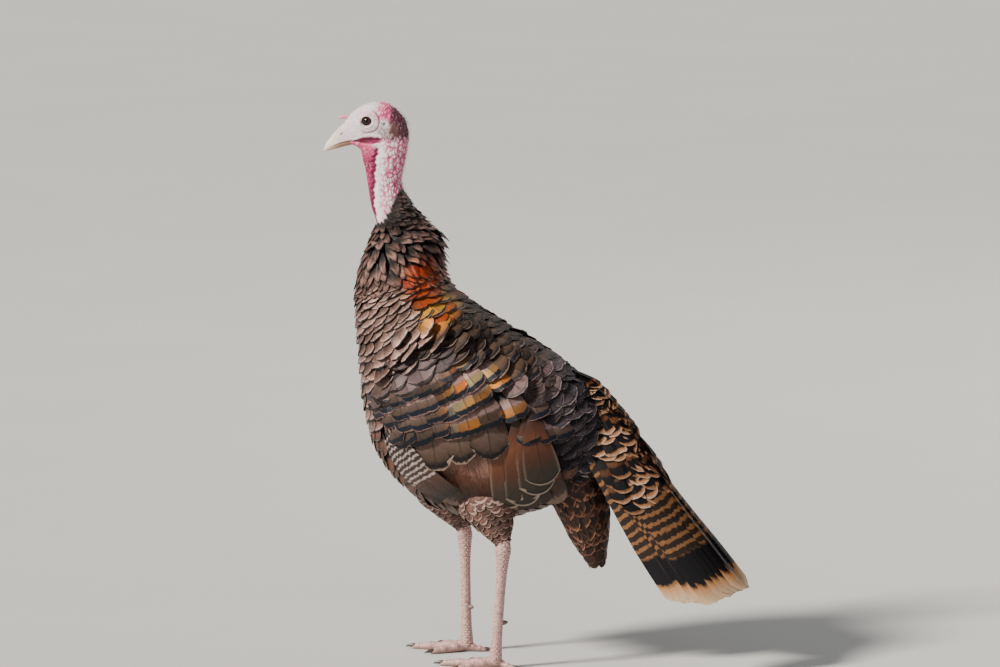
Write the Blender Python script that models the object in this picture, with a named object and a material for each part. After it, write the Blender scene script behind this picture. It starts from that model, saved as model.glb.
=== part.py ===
"""A wild turkey, a young male standing alert, life size.

The bird faces -X, its plane of symmetry is y = 0 and its left side is at -Y.  The origin lies on the
ground, midway between the tip of the bill and the tip of the tail.  Every flesh solid reaches out to
the tips of its feathers.  The neck and trunk are lofts between a ventral and a dorsal rail, and the
wings, tail and coverts are shells laid on those lofts.
"""
import math

import bmesh
import bpy
import numpy as np

MM = 0.001
GAP = 0.4 * MM          # clearance between neighbouring solids
SIDES = {"left": -1.0, "right": 1.0}

# ---------------------------------------------------------------- driving dimensions, in millimetres

# Neck and trunk: sections from jaw to vent, each by its ventral point, its dorsal point (x, z) and
# its half-width.
BODY_SECTIONS = (
    ("jaw", (-223, 652), (-158, 672), 17),
    ("throat", (-216, 628), (-165, 641), 17),
    ("bare neck", (-211, 598), (-170, 611), 18),
    ("hackle edge", (-206, 566), (-159, 590), 23),
    ("upper hackle", (-209, 547), (-141, 566), 31),
    ("raised hackle", (-217, 526), (-120, 543), 42),
    ("neck root", (-226, 498), (-116, 518), 54),
    ("crop", (-229, 468), (-111, 491), 66),
    ("upper breast", (-228, 440), (-90, 470), 76),
    ("shoulders", (-224, 402), (-60, 450), 84),
    ("breast", (-221, 358), (-26, 431), 90),
    ("mid back", (-215, 316), (8, 413), 93),
    ("lower breast", (-202, 272), (42, 391), 93),
    ("belly front", (-176, 233), (69, 370), 89),
    ("belly", (-134, 202), (90, 345), 82),
    ("loin", (-86, 187), (104, 318), 71),
    ("rump", (-38, 186), (112, 290), 57),
    ("vent", (8, 196), (110, 262), 40),
    ("stern", (45, 212), (98, 240), 20),
)
BODY_ROUND = 2.25       # superellipse exponent of a body section
SIDE_REACH = 6.0        # how near to the trunk's side view a place must be to count as beside it
BARE_NECK_END = 3.15    # where the bare skin ends, counted in sections
NECK_END = 7.0          # where the neck joins the trunk

# Head: sections from the bill's root to the back of the skull: x, crown z, jaw z, half-width.
HEAD_SECTIONS = (
    (-243, 688, 664, 8.0),
    (-233, 701, 660, 11.5),
    (-219, 711, 656, 15.0),
    (-202, 716, 650, 17.5),
    (-186, 713, 648, 17.5),
    (-172, 703, 651, 14.5),
    (-162, 688, 658, 9.0),
)
EYE_CENTRE = (-211.0, 10.8, 692.0)
EYE_RADIUS = 6.4

# Bill: sections from tip to root: x, upper edge z, cutting edge z, lower edge z, half-width.
BILL_SECTIONS = (
    (-271.0, 655.5, 651.8, 651.0, 1.6),
    (-265.0, 665.5, 655.0, 651.5, 4.0),
    (-256.0, 677.0, 659.5, 654.5, 6.2),
    (-247.0, 685.5, 663.0, 657.0, 7.8),
    (-238.0, 691.0, 665.5, 659.0, 8.8),
)
SNOOD_ROOT = (-238.0, 694.0)
SNOOD_TIP = (-252.0, 692.5)
SNOOD_RADIUS = 3.6

# Folded wing, side view: lower front edge and upper rear edge (x, z) from the shoulder to the tip.
WING_EDGES = (
    ((-178, 392), (-168, 402)),
    ((-185, 366), (-140, 425)),
    ((-187, 334), (-98, 435)),
    ((-181, 296), (-52, 424)),
    ((-165, 262), (-10, 399)),
    ((-140, 235), (24, 366)),
    ((-106, 216), (45, 331)),
    ((-70, 205), (53, 297)),
    ((-30, 201), (55, 268)),
    ((8, 206), (53, 246)),
    ((34, 218), (48, 232)),
)
WING_THICK = 17.0       # at the middle of the arm
WING_EDGE_THICK = 4.0
WING_SUNK = 5.0         # depth to which the wing's middle is let into the plumage of the trunk
WING_STANDOFF = 46.0    # least half-width over the wings where they reach past the trunk
QUILL_ARC_CENTRE = (-95.0, 408.0)   # the coverts end on an arc about this point (x, z)
QUILL_ARC_RADIUS = 158.0

# Tail: a closed fan, steeply roofed, from its root to its tip along the ridge (x, z).
TAIL_RIDGE = ((57, 367), (99, 324), (151, 264), (203, 199), (238, 158), (272, 117))
TAIL_HALF_WIDTH = (24.0, 60.0)      # at the root and at the tip
TAIL_DROP = (26.0, 62.0)            # how far the outer feathers hang below the ridge
TAIL_THICK = (9.0, 3.0)
COVERT_SPAN = (0.02, 0.60)          # the part of the tail that the upper coverts lie on
COVERT_THICK = 12.0

# Under-tail tuft: centre (x, z), half-depth and half-width, from the vent to its hanging tip.
UNDERTAIL = (
    ((34, 296), 14, 26),
    ((48, 268), 32, 40),
    ((60, 236), 38, 44),
    ((72, 200), 33, 40),
    ((82, 160), 22, 28),
    ((89, 130), 11, 14),
    ((91, 116), 3, 4),
)

# Legs.  Each is set by its foot's place and its hock; the left leg trails by the length of a step.
FOOT_X = {"left": -31.0, "right": -98.0}
HOCK_X = {"left": -20.0, "right": -101.0}
HOCK_Z = 152.0
STANCE = 54.0           # half the spread of the feet
HIP_SPREAD = 42.0       # half the spread of the thighs where they leave the belly
ANKLE_Z = 21.0
SHANK_RADIUS = 6.3
THIGH = (               # from the hip to the hock: share of the way, half-depth, half-width
    (0.00, 20, 16),
    (0.12, 36, 25),
    (0.35, 40, 28),
    (0.60, 30, 22),
    (0.82, 19, 15),
    (1.00, 9, 8.5),
)
TOES = {                # heading from straight ahead (outwards positive), length, root radius
    "inner": (-40.0, 50.0, 6.4),
    "middle": (0.0, 72.0, 7.0),
    "outer": (38.0, 54.0, 6.4),
    "hind": (165.0, 27.0, 5.2),
}
CLAW_LENGTH = 13.0
CLAW_RADIUS = 2.5
SPUR_Z = 58.0
SPUR_LENGTH = 8.0

# Finishes: base colour, roughness.
FINISH = {
    "plumage": ((0.10, 0.062, 0.045), 0.55),
    "hackle": ((0.075, 0.045, 0.040), 0.50),
    "coverts": ((0.16, 0.085, 0.045), 0.45),
    "quills": ((0.15, 0.095, 0.070), 0.50),
    "tail": ((0.22, 0.13, 0.06), 0.55),
    "skin": ((0.62, 0.40, 0.42), 0.50),
    "head_skin": ((0.66, 0.55, 0.62), 0.50),
    "horn": ((0.62, 0.50, 0.36), 0.35),
    "eye": ((0.03, 0.015, 0.01), 0.08),
    "scutes": ((0.50, 0.27, 0.24), 0.45),
    "claw": ((0.10, 0.07, 0.055), 0.35),
}


# ---------------------------------------------------------------- curves

def spline(points, t):
    """Smooth curve through the rows of points, read at t in rows (Catmull-Rom, natural ends)."""
    points = np.asarray(points, float)
    if points.ndim == 1:
        points = points[:, None]
    ends = 2 * points[[0, -1]] - points[[1, -2]]
    padded = np.vstack([ends[:1], points, ends[1:]])
    t = np.clip(np.atleast_1d(np.asarray(t, float)), 0.0, len(points) - 1.0)
    index = np.minimum(t.astype(int), len(points) - 2)
    u = (t - index)[:, None]
    before, start, end, after = (padded[index + k] for k in range(4))
    return 0.5 * (2 * start + (end - before) * u
                  + (2 * before - 5 * start + 4 * end - after) * u ** 2
                  + (3 * start - before - 3 * end + after) * u ** 3)


def superellipse(count, exponent):
    """Cosine and sine of count turns, squared off to a superellipse."""
    turn = np.linspace(0.0, 2 * math.pi, count, endpoint=False)
    power = 2.0 / exponent
    return (np.sign(np.cos(turn)) * np.abs(np.cos(turn)) ** power,
            np.sign(np.sin(turn)) * np.abs(np.sin(turn)) ** power)


def unit(vectors):
    """Rows scaled to length one."""
    return vectors / np.linalg.norm(vectors, axis=-1, keepdims=True)


# ---------------------------------------------------------------- solids

def add_object(name, points, faces, finish, smooth_angle=50.0):
    """One closed body of triangles in its own finish, its faces turned outwards; points are in mm."""
    mesh = bpy.data.meshes.new(name)
    shape = bmesh.new()
    verts = [shape.verts.new(point) for point in np.asarray(points) * MM]
    for face in faces:
        for second, third in zip(face[1:-1], face[2:]):
            shape.faces.new((verts[face[0]], verts[second], verts[third]))
    bmesh.ops.recalc_face_normals(shape, faces=shape.faces)
    shape.to_mesh(mesh)
    shape.free()
    mesh.shade_smooth()
    mesh.set_sharp_from_angle(angle=math.radians(smooth_angle))
    thing = bpy.data.objects.new(name, mesh)
    bpy.context.collection.objects.link(thing)
    thing.data.materials.append(material(name, finish))
    return thing


def material(name, finish):
    """A Principled finish of one sub-part."""
    colour, roughness = FINISH[finish]
    made = bpy.data.materials.new(name)
    made.use_nodes = True
    shader = made.node_tree.nodes["Principled BSDF"]
    shader.inputs["Base Color"].default_value = (*colour, 1.0)
    shader.inputs["Roughness"].default_value = roughness
    shader.inputs["Metallic"].default_value = 0.0
    return made


def ring_solid(name, rings, finish):
    """Closed solid through a stack of rings (rings, points, 3), with a fan over each end."""
    rings = np.asarray(rings)
    rows, cols = rings.shape[:2]
    points = np.vstack([rings.reshape(-1, 3), rings[0].mean(0), rings[-1].mean(0)])
    faces = []
    for col in range(cols):
        after = (col + 1) % cols
        faces.append((rows * cols, after, col))
        faces.append((rows * cols + 1, (rows - 1) * cols + col, (rows - 1) * cols + after))
        for row in range(rows - 1):
            low = row * cols
            faces.append((low + col, low + after, low + cols + after, low + cols + col))
    return add_object(name, points, faces, finish)


def shell_solid(name, outer, inner, finish):
    """Closed solid between two sheets of points (rows, columns, 3), joined round their rims."""
    rows, cols = outer.shape[:2]
    points = np.vstack([outer.reshape(-1, 3), inner.reshape(-1, 3)])
    under = rows * cols
    faces = []
    for row in range(rows - 1):
        for col in range(cols - 1):
            corner = row * cols + col
            quad = (corner, corner + 1, corner + cols + 1, corner + cols)
            faces.append(quad)
            faces.append(tuple(under + k for k in reversed(quad)))
    rim = [(0, col) for col in range(cols - 1)]
    rim += [(row, cols - 1) for row in range(rows - 1)]
    rim += [(rows - 1, col) for col in range(cols - 1, 0, -1)]
    rim += [(row, 0) for row in range(rows - 1, 0, -1)]
    around = [row * cols + col for row, col in rim]
    for here, after in zip(around, around[1:] + around[:1]):
        faces.append((here, under + here, under + after, after))
    return add_object(name, points, faces, finish)


def limb(name, path, deep, wide, finish, across=(0.0, 1.0, 0.0), sides=12, grow=0.0):
    """Round solid along a path, with its half-depth and half-width at each point of it."""
    path = np.asarray(path, float)
    along = unit(np.gradient(path, axis=0))
    across = unit(np.asarray(across, float) - along * (along @ np.asarray(across, float))[:, None])
    up = np.cross(along, across)
    if grow:
        path = path + along * np.linspace(-grow, grow, len(path))[:, None]
    cosine, sine = superellipse(sides, 2.0)
    deep = np.asarray(deep, float) + grow
    wide = np.asarray(wide, float) + grow
    rings = (path[:, None, :] + up[:, None, :] * (deep[:, None] * cosine)[:, :, None]
             + across[:, None, :] * (wide[:, None] * sine)[:, :, None])
    return ring_solid(name, rings, finish)


def boolean(thing, other, operation):
    """Leave a live Boolean on thing, with other as its hidden tool."""
    cut = thing.modifiers.new(operation.lower(), "BOOLEAN")
    cut.operation = operation
    cut.solver = "EXACT"
    cut.object = other
    other.hide_render = True
    other.display_type = "WIRE"


def cut(thing, *tools):
    """Cut thing back from each of the tools."""
    for tool in tools:
        boolean(thing, tool, "DIFFERENCE")


# ---------------------------------------------------------------- neck and trunk

def body_rings(start, end, rows, sides, grow=0.0):
    """Sections of neck and trunk from one place on the rails to another."""
    t = np.linspace(start, end, rows)
    ventral = spline([section[1] for section in BODY_SECTIONS], t)
    dorsal = spline([section[2] for section in BODY_SECTIONS], t)
    half_width = spline([section[3] for section in BODY_SECTIONS], t)[:, 0] + grow
    middle = (ventral + dorsal) / 2
    reach = (dorsal - ventral) / 2
    reach = reach + unit(reach) * grow
    cosine, sine = superellipse(sides, BODY_ROUND)
    rings = np.zeros((rows, sides, 3))
    rings[:, :, 0] = middle[:, 0, None] + reach[:, 0, None] * cosine
    rings[:, :, 2] = middle[:, 1, None] + reach[:, 1, None] * cosine
    rings[:, :, 1] = half_width[:, None] * sine
    return rings


def body_width(x, z):
    """Half-width of the trunk beside each place (x, z) of its side view, nought outside it."""
    side = body_rings(NECK_END, len(BODY_SECTIONS) - 1.0, 90, 240)[:, :121].reshape(-1, 3)
    width = np.zeros(x.size)
    for k, place in enumerate(zip(x.ravel(), z.ravel())):
        distance = np.hypot(side[:, 0] - place[0], side[:, 2] - place[1])
        nearest = np.argmin(distance)
        if distance[nearest] < SIDE_REACH:
            width[k] = side[nearest, 1]
    return width.reshape(x.shape)


def make_neck_and_trunk():
    """Bare neck, feathered neck and trunk, parted by thin flat cuts across the rails."""
    slit = 0.4 / 28.0       # the clearance, counted in sections
    bare = ring_solid("neck_bare", body_rings(0.0, BARE_NECK_END - slit, 8, 20), "skin")
    hackle = ring_solid("neck_feathered", body_rings(BARE_NECK_END, NECK_END - slit, 9, 24),
                        "hackle")
    trunk = ring_solid("trunk", body_rings(NECK_END, len(BODY_SECTIONS) - 1.0, 19, 22), "plumage")
    return bare, hackle, trunk


# ---------------------------------------------------------------- head

def make_skull(name, grow=0.0):
    """The head without its bill: upright sections from the bill's root to the back of the skull."""
    t = np.linspace(0, len(HEAD_SECTIONS) - 1, 12)
    x, crown, jaw, half_width = spline(HEAD_SECTIONS, t).T
    cosine, sine = superellipse(18, 2.15)
    rings = np.zeros((len(t), 18, 3))
    rings[:, :, 0] = (x + grow * np.linspace(-1, 1, len(t)))[:, None]
    rings[:, :, 1] = (half_width + grow)[:, None] * sine
    rings[:, :, 2] = ((crown + jaw) / 2)[:, None] + ((crown - jaw) / 2 + grow)[:, None] * cosine
    return ring_solid(name, rings, "head_skin")


def make_eye(name, side, grow=0.0):
    """An eyeball, seated with its front just proud of the cheek."""
    x, y, z = EYE_CENTRE
    turn = np.linspace(0.08, math.pi - 0.08, 7)
    around = np.linspace(0, 2 * math.pi, 10, endpoint=False)
    radius = EYE_RADIUS + grow
    rings = np.stack([x + radius * np.sin(turn)[:, None] * np.cos(around),
                      side * (y + radius * np.cos(turn)[:, None] * np.ones(10)),
                      z + radius * np.sin(turn)[:, None] * np.sin(around)], axis=2)
    return ring_solid(name, rings, "eye")


def bill_half(name, upper, grow=0.0):
    """One mandible: half-round sections between the cutting edge and the bill's outer edge."""
    t = np.linspace(0, len(BILL_SECTIONS) - 1, 7)
    x, top, edge, bottom, half_width = spline(BILL_SECTIONS, t).T
    side = 1.0 if upper else -1.0
    height = (top - edge if upper else edge - bottom) + grow
    arc = np.linspace(0, math.pi, 9)
    rings = np.zeros((len(t), 9, 3))
    rings[:, :, 0] = x[:, None]
    rings[:, :, 1] = (half_width - (0.0 if upper else 0.5) + grow)[:, None] * np.cos(arc)
    rings[:, :, 2] = (edge + side * 0.2)[:, None] + side * height[:, None] * np.sin(arc) ** 0.9
    return ring_solid(name, rings, "horn")


def make_head(bare_neck):
    """Skull, eyes, bill and snood, and the bare neck fitted under them."""
    skull = make_skull("head")
    cut(bare_neck, make_skull("head_clearance", GAP / MM))
    for label, side in SIDES.items():
        make_eye(f"eye_{label}", side)
        cut(skull, make_eye(f"eye_{label}_socket", side, GAP / MM))
    clearance = bpy.data.objects["head_clearance"]
    for name, upper in (("bill_upper", True), ("bill_lower", False)):
        cut(bill_half(name, upper), clearance)
    root, tip = np.array(SNOOD_ROOT), np.array(SNOOD_TIP)
    share = np.linspace(0.0, 1.0, 6)
    path = np.zeros((6, 3))
    path[:, [0, 2]] = root + (tip - root) * share[:, None]
    path[:, 2] -= 1.5 * share ** 2
    radius = SNOOD_RADIUS * (1 - 0.25 * share) * np.sqrt(1 - (0.96 * share) ** 6)
    cut(limb("snood", path, radius, radius, "head_skin", sides=8), clearance,
        bill_half("bill_clearance", True, GAP / MM))


# ---------------------------------------------------------------- wings

def wing_sheets(side, grow=0.0, outwards=0.0):
    """Outer and inner sheet of a folded wing, laid on the trunk; grow widens it all round."""
    rows, cols = 12, 9
    t = np.linspace(0, len(WING_EDGES) - 1, rows)
    front = spline([edge[0] for edge in WING_EDGES], t)
    rear = spline([edge[1] for edge in WING_EDGES], t)
    middle = (front + rear) / 2
    half = (rear - front) / 2
    half = half + unit(half) * grow
    q = np.sin(np.linspace(-math.pi / 2, math.pi / 2, cols))
    x = middle[:, 0, None] + half[:, 0, None] * q
    z = middle[:, 1, None] + half[:, 1, None] * q
    x[[0, -1]] += np.array([[-grow], [grow]])
    rest = (body_width(x, z) ** 4 + WING_STANDOFF ** 4) ** 0.25
    p = np.linspace(-1, 1, rows)[:, None]
    fullness = (1 - np.abs(p) ** 4) * (1 - np.abs(q) ** 4)
    thick = WING_EDGE_THICK + (WING_THICK - WING_EDGE_THICK) * fullness
    sunk = WING_SUNK * fullness
    outer = np.stack([x, side * (rest - sunk + thick + outwards), z], axis=2)
    inner = np.stack([x, side * (rest - sunk - 3 * grow), z], axis=2)
    return outer, inner


def covert_prism(name, side, radius):
    """Upright-sided block under the coverts: everything within an arc about the shoulder."""
    arc = np.linspace(0, 2 * math.pi, 40, endpoint=False)
    x = QUILL_ARC_CENTRE[0] + radius * np.cos(arc)
    z = QUILL_ARC_CENTRE[1] + radius * np.sin(arc)
    rings = np.stack([np.stack([x, np.full(40, side * y), z], axis=1) for y in (20.0, 160.0)])
    return ring_solid(name, rings, "coverts")


def make_wings(trunk):
    """Each folded wing as its covert-clad arm and its quills, let into the side of the trunk."""
    for label, side in SIDES.items():
        outer, inner = wing_sheets(side)
        coverts = shell_solid(f"wing_{label}_coverts", outer, inner, "coverts")
        quills = shell_solid(f"wing_{label}_quills", outer, inner, "quills")
        boolean(coverts, covert_prism(f"covert_limit_{label}", side, QUILL_ARC_RADIUS), "INTERSECT")
        cut(quills, covert_prism(f"quill_limit_{label}", side, QUILL_ARC_RADIUS + GAP / MM))
        outer, inner = wing_sheets(side, grow=GAP / MM, outwards=60.0)
        cut(trunk, shell_solid(f"wing_{label}_clearance", outer, inner, "plumage"))


# ---------------------------------------------------------------- tail

def tail_sheet(start, end, lift, grow=0.0, rows=8, cols=9):
    """Sheet over the roofed fan from one share of its length to another, lifted along its normal.

    Across, the sheet falls away from the ridge as the 1.7th power of the distance from it, and its
    hind edge is rounded.
    """
    ridge = np.array(TAIL_RIDGE, float)
    length = np.linalg.norm(ridge[-1] - ridge[0])
    q = np.linspace(-1, 1, cols)[None, :]
    share = np.linspace(start - grow / length, end + grow / length, rows)[:, None]
    share = share - (share - start) / (end - start) * 0.10 * (end - start) * np.abs(q) ** 2.5
    spread = np.clip(share, 0, 1)
    width = TAIL_HALF_WIDTH[0] + (TAIL_HALF_WIDTH[1] - TAIL_HALF_WIDTH[0]) * spread ** 0.8 + grow
    drop = TAIL_DROP[0] + (TAIL_DROP[1] - TAIL_DROP[0]) * spread ** 0.7
    fall = lift(share, q) - drop * np.abs(q) ** 1.7
    place = spline(ridge, spread.ravel() * (len(ridge) - 1)).reshape(*spread.shape, 2)
    beyond = (share - spread) * length
    along = unit(ridge[-1] - ridge[0])
    x = place[..., 0] + along[0] * beyond - along[1] * fall
    z = place[..., 1] + along[1] * beyond + along[0] * fall
    return np.stack([x, width * q, z], axis=2)


def tail_thickness(share, q):
    """Depth of the stack of tail feathers."""
    return TAIL_THICK[0] + (TAIL_THICK[1] - TAIL_THICK[0]) * np.clip(share, 0, 1) + 0 * q


def covert_thickness(share, q):
    """Depth of the upper tail coverts, thinning to their hind edge and down the sides."""
    start, end = COVERT_SPAN
    taper = 1 - 0.85 * np.clip((share - start) / (end - start), 0, 1) ** 2.2
    return COVERT_THICK * taper * (1 - 0.55 * np.abs(q) ** 2)


def make_tail_shell(name, grow=0.0):
    """The closed fan of tail feathers."""
    outer = tail_sheet(0.0, 1.0, lambda share, q: 0 * share * q + grow, grow)
    inner = tail_sheet(0.0, 1.0, lambda share, q: -tail_thickness(share, q) - 3 * grow, grow)
    return shell_solid(name, outer, inner, "tail")


def make_tail_coverts(name, grow=0.0):
    """The upper coverts that lie on the fan."""
    gap = GAP / MM
    outer = tail_sheet(*COVERT_SPAN, lambda share, q: gap + covert_thickness(share, q) + grow, grow)
    inner = tail_sheet(*COVERT_SPAN, lambda share, q: gap + 0 * share * q - 3 * grow, grow)
    return shell_solid(name, outer, inner, "coverts")


def make_undertail(name, grow=0.0):
    """The tuft of under-tail coverts and loose flank feathers that hangs behind the legs."""
    t = np.linspace(0, len(UNDERTAIL) - 1, 9)
    centre = spline([row[0] for row in UNDERTAIL], t)
    deep, wide = spline([row[1:] for row in UNDERTAIL], t).T
    path = np.stack([centre[:, 0], 0 * t, centre[:, 1]], axis=1)
    return limb(name, path, deep, wide, "plumage", grow=grow)


def make_tail(trunk):
    """Tail, its upper coverts and the tuft below it, with the trunk cut back from all three."""
    make_tail_shell("tail")
    make_tail_coverts("tail_coverts")
    undertail = make_undertail("undertail")
    fan = make_tail_shell("tail_clearance", GAP / MM)
    cut(undertail, fan)
    cut(trunk, fan, make_tail_coverts("tail_coverts_clearance", GAP / MM),
        make_undertail("undertail_clearance", GAP / MM))


# ---------------------------------------------------------------- legs

def leg_points(label, side):
    """Hip, hock and ankle of one leg."""
    hip = np.array([HOCK_X[label] - 34.0, side * HIP_SPREAD, HOCK_Z + 88.0])
    hock = np.array([HOCK_X[label], side * (STANCE - 1.0), HOCK_Z])
    ankle = np.array([FOOT_X[label], side * STANCE, ANKLE_Z])
    return hip, hock, ankle


def make_thigh(name, label, side, grow=0.0):
    """The feathered drumstick from inside the belly to just above the hock."""
    hip, hock, _ = leg_points(label, side)
    share, deep, wide = spline(THIGH, np.linspace(0, len(THIGH) - 1, 8)).T
    path = hip + (hock + np.array([0, 0, 9.0]) - hip) * share[:, None]
    return limb(name, path, deep, wide, "plumage", grow=grow)


def make_shank(label, side):
    """The scaled shank, swollen at the hock and again at the ankle."""
    _, hock, ankle = leg_points(label, side)
    share = np.linspace(0, 1, 10)
    path = hock + np.array([0, 0, 8.0]) + (ankle - hock - np.array([0, 0, 8.0])) * share[:, None]
    swell = 3.2 * np.exp(-((share - 0.06) / 0.09) ** 2) + 1.6 * np.exp(-((share - 1.0) / 0.08) ** 2)
    cap = np.sqrt(1 - np.clip(1 - share / 0.06, 0, 0.75) ** 2)
    wide = (SHANK_RADIUS - 0.6 + 0.8 * swell) * cap
    deep = (SHANK_RADIUS + 0.8 + swell) * cap
    return limb(f"shank_{label}", path, deep, wide, "scutes", sides=10)


def toe_path(label, side, toe, count=6):
    """Middle line of a toe along the ground, and its heading."""
    heading, length, radius = TOES[toe]
    turn = math.radians(heading) * side
    ahead = np.array([-math.cos(turn), math.sin(turn), 0.0])
    share = np.linspace(0, 1, count)[:, None]
    start = np.array([FOOT_X[label], side * STANCE, 0.0])
    lift = radius * (1 - 0.38 * share) - 0.5
    if toe == "hind":
        start = start + np.array([3.0, -2.0 * side, 0.0])
        lift = lift + 5.0 * (1 - share) ** 2
    return start + ahead * length * share + np.array([0, 0, 1.0]) * lift, ahead


def make_foot(label, side, floor):
    """Four toes and the ankle joined in one, resting on the flats of their pads."""
    _, _, ankle = leg_points(label, side)
    share = np.linspace(0, 1, 4)[:, None]
    path = np.array([ankle[0], ankle[1], 5.0]) + share * np.array([0, 0, ANKLE_Z - 6.2])
    radius = np.array([7.0, 8.6, 7.8, 7.0])
    foot = limb(f"foot_{label}", path, radius, radius, "scutes", sides=10)
    for toe, (_, _, root) in TOES.items():
        path, ahead = toe_path(label, side, toe)
        along = np.linspace(0, 1, len(path))
        pads = 1 + 0.07 * np.cos(2 * math.pi * 3 * along)
        radius = root * (1 - 0.38 * along) * pads
        radius[-1] *= 0.6
        across = (ahead[1], -ahead[0], 0.0)
        tool = limb(f"toe_{label}_{toe}", path, radius, radius, "scutes", across=across, sides=8)
        boolean(foot, tool, "UNION")
    cut(foot, floor)
    return foot


def make_claw(label, side, toe):
    """A curved claw at the tip of a toe, its point just clear of the ground."""
    path, ahead = toe_path(label, side, toe)
    share = np.linspace(0, 1, 5)[:, None]
    clear = GAP / MM
    tip = path[-1] + ahead * clear
    curve = tip + ahead * CLAW_LENGTH * share + np.array([0, 0, 1.0]) * (1.2 * share - 3.0 * share ** 2)
    radius = CLAW_RADIUS * (1 - 0.85 * share[:, 0])
    across = (ahead[1], -ahead[0], 0.0)
    return limb(f"claw_{label}_{toe}", curve, radius, 0.8 * radius, "claw", across=across, sides=6)


def make_spur(label, side):
    """The young male's short blunt spur, on the back of the shank and turned inwards."""
    _, hock, ankle = leg_points(label, side)
    share = (SPUR_Z - ankle[2]) / (hock[2] - ankle[2])
    middle = ankle + (hock - ankle) * share
    outward = unit(np.array([0.85, -0.5 * side, 0.1]))
    path = middle + outward * np.linspace(0.3, 1.0, 6)[:, None] * (SHANK_RADIUS + SPUR_LENGTH)
    radius = 4.0 * np.array([1.0, 0.95, 0.8, 0.6, 0.42, 0.15])
    spur = limb(f"spur_{label}", path, radius, radius, "claw", sides=8)
    clearance = limb(f"shank_{label}_clearance",
                     np.array([middle - (0, 0, 20.0), middle, middle + (0, 0, 20.0)]),
                     np.full(3, SHANK_RADIUS + 1.25), np.full(3, SHANK_RADIUS + 0.6), "scutes",
                     sides=24)
    cut(spur, clearance)
    return spur


def make_legs(trunk):
    """Both legs, standing a step apart on the ground."""
    corners = np.array([[x, y] for x, y in ((-300, -300), (300, -300), (300, 300), (-300, 300))])
    rings = np.stack([np.column_stack([corners, np.full(4, z)]) for z in (-50.0, 0.0)])
    floor = ring_solid("floor_cut", rings, "plumage")
    for label, side in SIDES.items():
        cut(make_thigh(f"thigh_{label}", label, side), bpy.data.objects[f"wing_{label}_clearance"])
        tool = make_thigh(f"thigh_{label}_clearance", label, side, GAP / MM)
        cut(trunk, tool)
        cut(make_shank(label, side), tool)
        make_foot(label, side, floor)
        for toe in TOES:
            make_claw(label, side, toe)
        make_spur(label, side)


# ---------------------------------------------------------------- the bird

def main():
    """Clear the scene and build the bird."""
    for thing in list(bpy.data.objects):
        bpy.data.objects.remove(thing, do_unlink=True)
    bare_neck, _, trunk = make_neck_and_trunk()
    make_head(bare_neck)
    make_wings(trunk)
    make_tail(trunk)
    make_legs(trunk)


main()
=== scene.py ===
"""A wild turkey, a young male standing alert: the dressed, life-size model.

Lengths are in millimetres until a mesh is made.  The bird faces -X, its left side is at -Y.
"""

import itertools
import math

import bpy
import numpy as np
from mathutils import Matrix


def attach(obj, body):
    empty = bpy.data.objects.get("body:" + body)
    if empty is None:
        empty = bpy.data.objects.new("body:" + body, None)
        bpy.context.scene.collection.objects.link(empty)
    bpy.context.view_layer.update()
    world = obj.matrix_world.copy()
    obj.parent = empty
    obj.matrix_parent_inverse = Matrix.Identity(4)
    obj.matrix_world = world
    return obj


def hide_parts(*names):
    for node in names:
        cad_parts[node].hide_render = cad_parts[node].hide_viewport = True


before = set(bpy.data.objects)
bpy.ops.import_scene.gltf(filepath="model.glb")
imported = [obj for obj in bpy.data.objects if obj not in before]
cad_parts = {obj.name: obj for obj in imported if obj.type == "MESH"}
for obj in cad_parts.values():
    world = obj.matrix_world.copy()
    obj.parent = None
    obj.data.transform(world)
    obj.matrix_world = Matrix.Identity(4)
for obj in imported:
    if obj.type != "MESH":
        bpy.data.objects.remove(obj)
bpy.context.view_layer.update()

MM = 0.001
SHARP_EDGE = 70.0                   # degrees: vane edges past this stay crisp
SIDES = {"left": -1.0, "right": 1.0}
FULL_TURN = 2 * math.pi
WORLD_UP = np.array([0.0, 0.0, 1.0])

# Neck and body sections: ventral point, dorsal point (x, z), half-width, depth of the coat there.
SECTIONS = (
    ("bill root", (-243.5, 664), (-243.5, 689), 8.2, 0.0),
    ("lores", (-237, 660.5), (-234, 701), 11.4, 0.0),
    ("brow", (-230.5, 658.5), (-221, 710), 14.6, 0.0),
    ("eye", (-226, 656.5), (-204, 715.6), 17.0, 0.0),
    ("ear", (-223, 654.5), (-187, 712.6), 17.2, 0.0),
    ("hind skull", (-221.5, 652), (-171.5, 701.5), 16.0, 0.0),
    ("occiput", (-220.5, 646), (-162.5, 687), 15.6, 0.0),
    ("nape", (-219, 638), (-160.5, 667), 16.2, 0.0),
    ("throat", (-216, 628), (-165, 641), 16.8, 0.0),
    ("bare neck", (-211, 598), (-170, 611), 17.8, 0.0),
    ("hackle edge", (-206, 566), (-159, 590), 23, 3.5),
    ("upper hackle", (-209, 547), (-141, 566), 31, 7.0),
    ("raised hackle", (-217, 526), (-120, 543), 42, 9.0),
    ("neck root", (-226, 498), (-116, 518), 54, 9.0),
    ("crop", (-229, 468), (-111, 491), 66, 9.0),
    ("upper breast", (-228, 440), (-90, 470), 76, 9.0),
    ("shoulders", (-224, 402), (-60, 450), 84, 9.0),
    ("breast", (-221, 358), (-26, 431), 90, 9.0),
    ("mid back", (-215, 316), (8, 413), 93, 9.0),
    ("lower breast", (-202, 272), (42, 391), 93, 9.0),
    ("belly front", (-176, 233), (69, 370), 89, 10.0),
    ("belly", (-134, 202), (90, 345), 82, 10.0),
    ("loin", (-86, 187), (104, 318), 71, 10.0),
    ("rump", (-38, 186), (112, 290), 57, 10.0),
    ("vent", (8, 196), (110, 262), 40, 9.0),
    ("stern", (45, 212), (98, 240), 20, 6.0),
)
PLACE = {name: float(k) for k, (name, *_) in enumerate(SECTIONS)}
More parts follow.
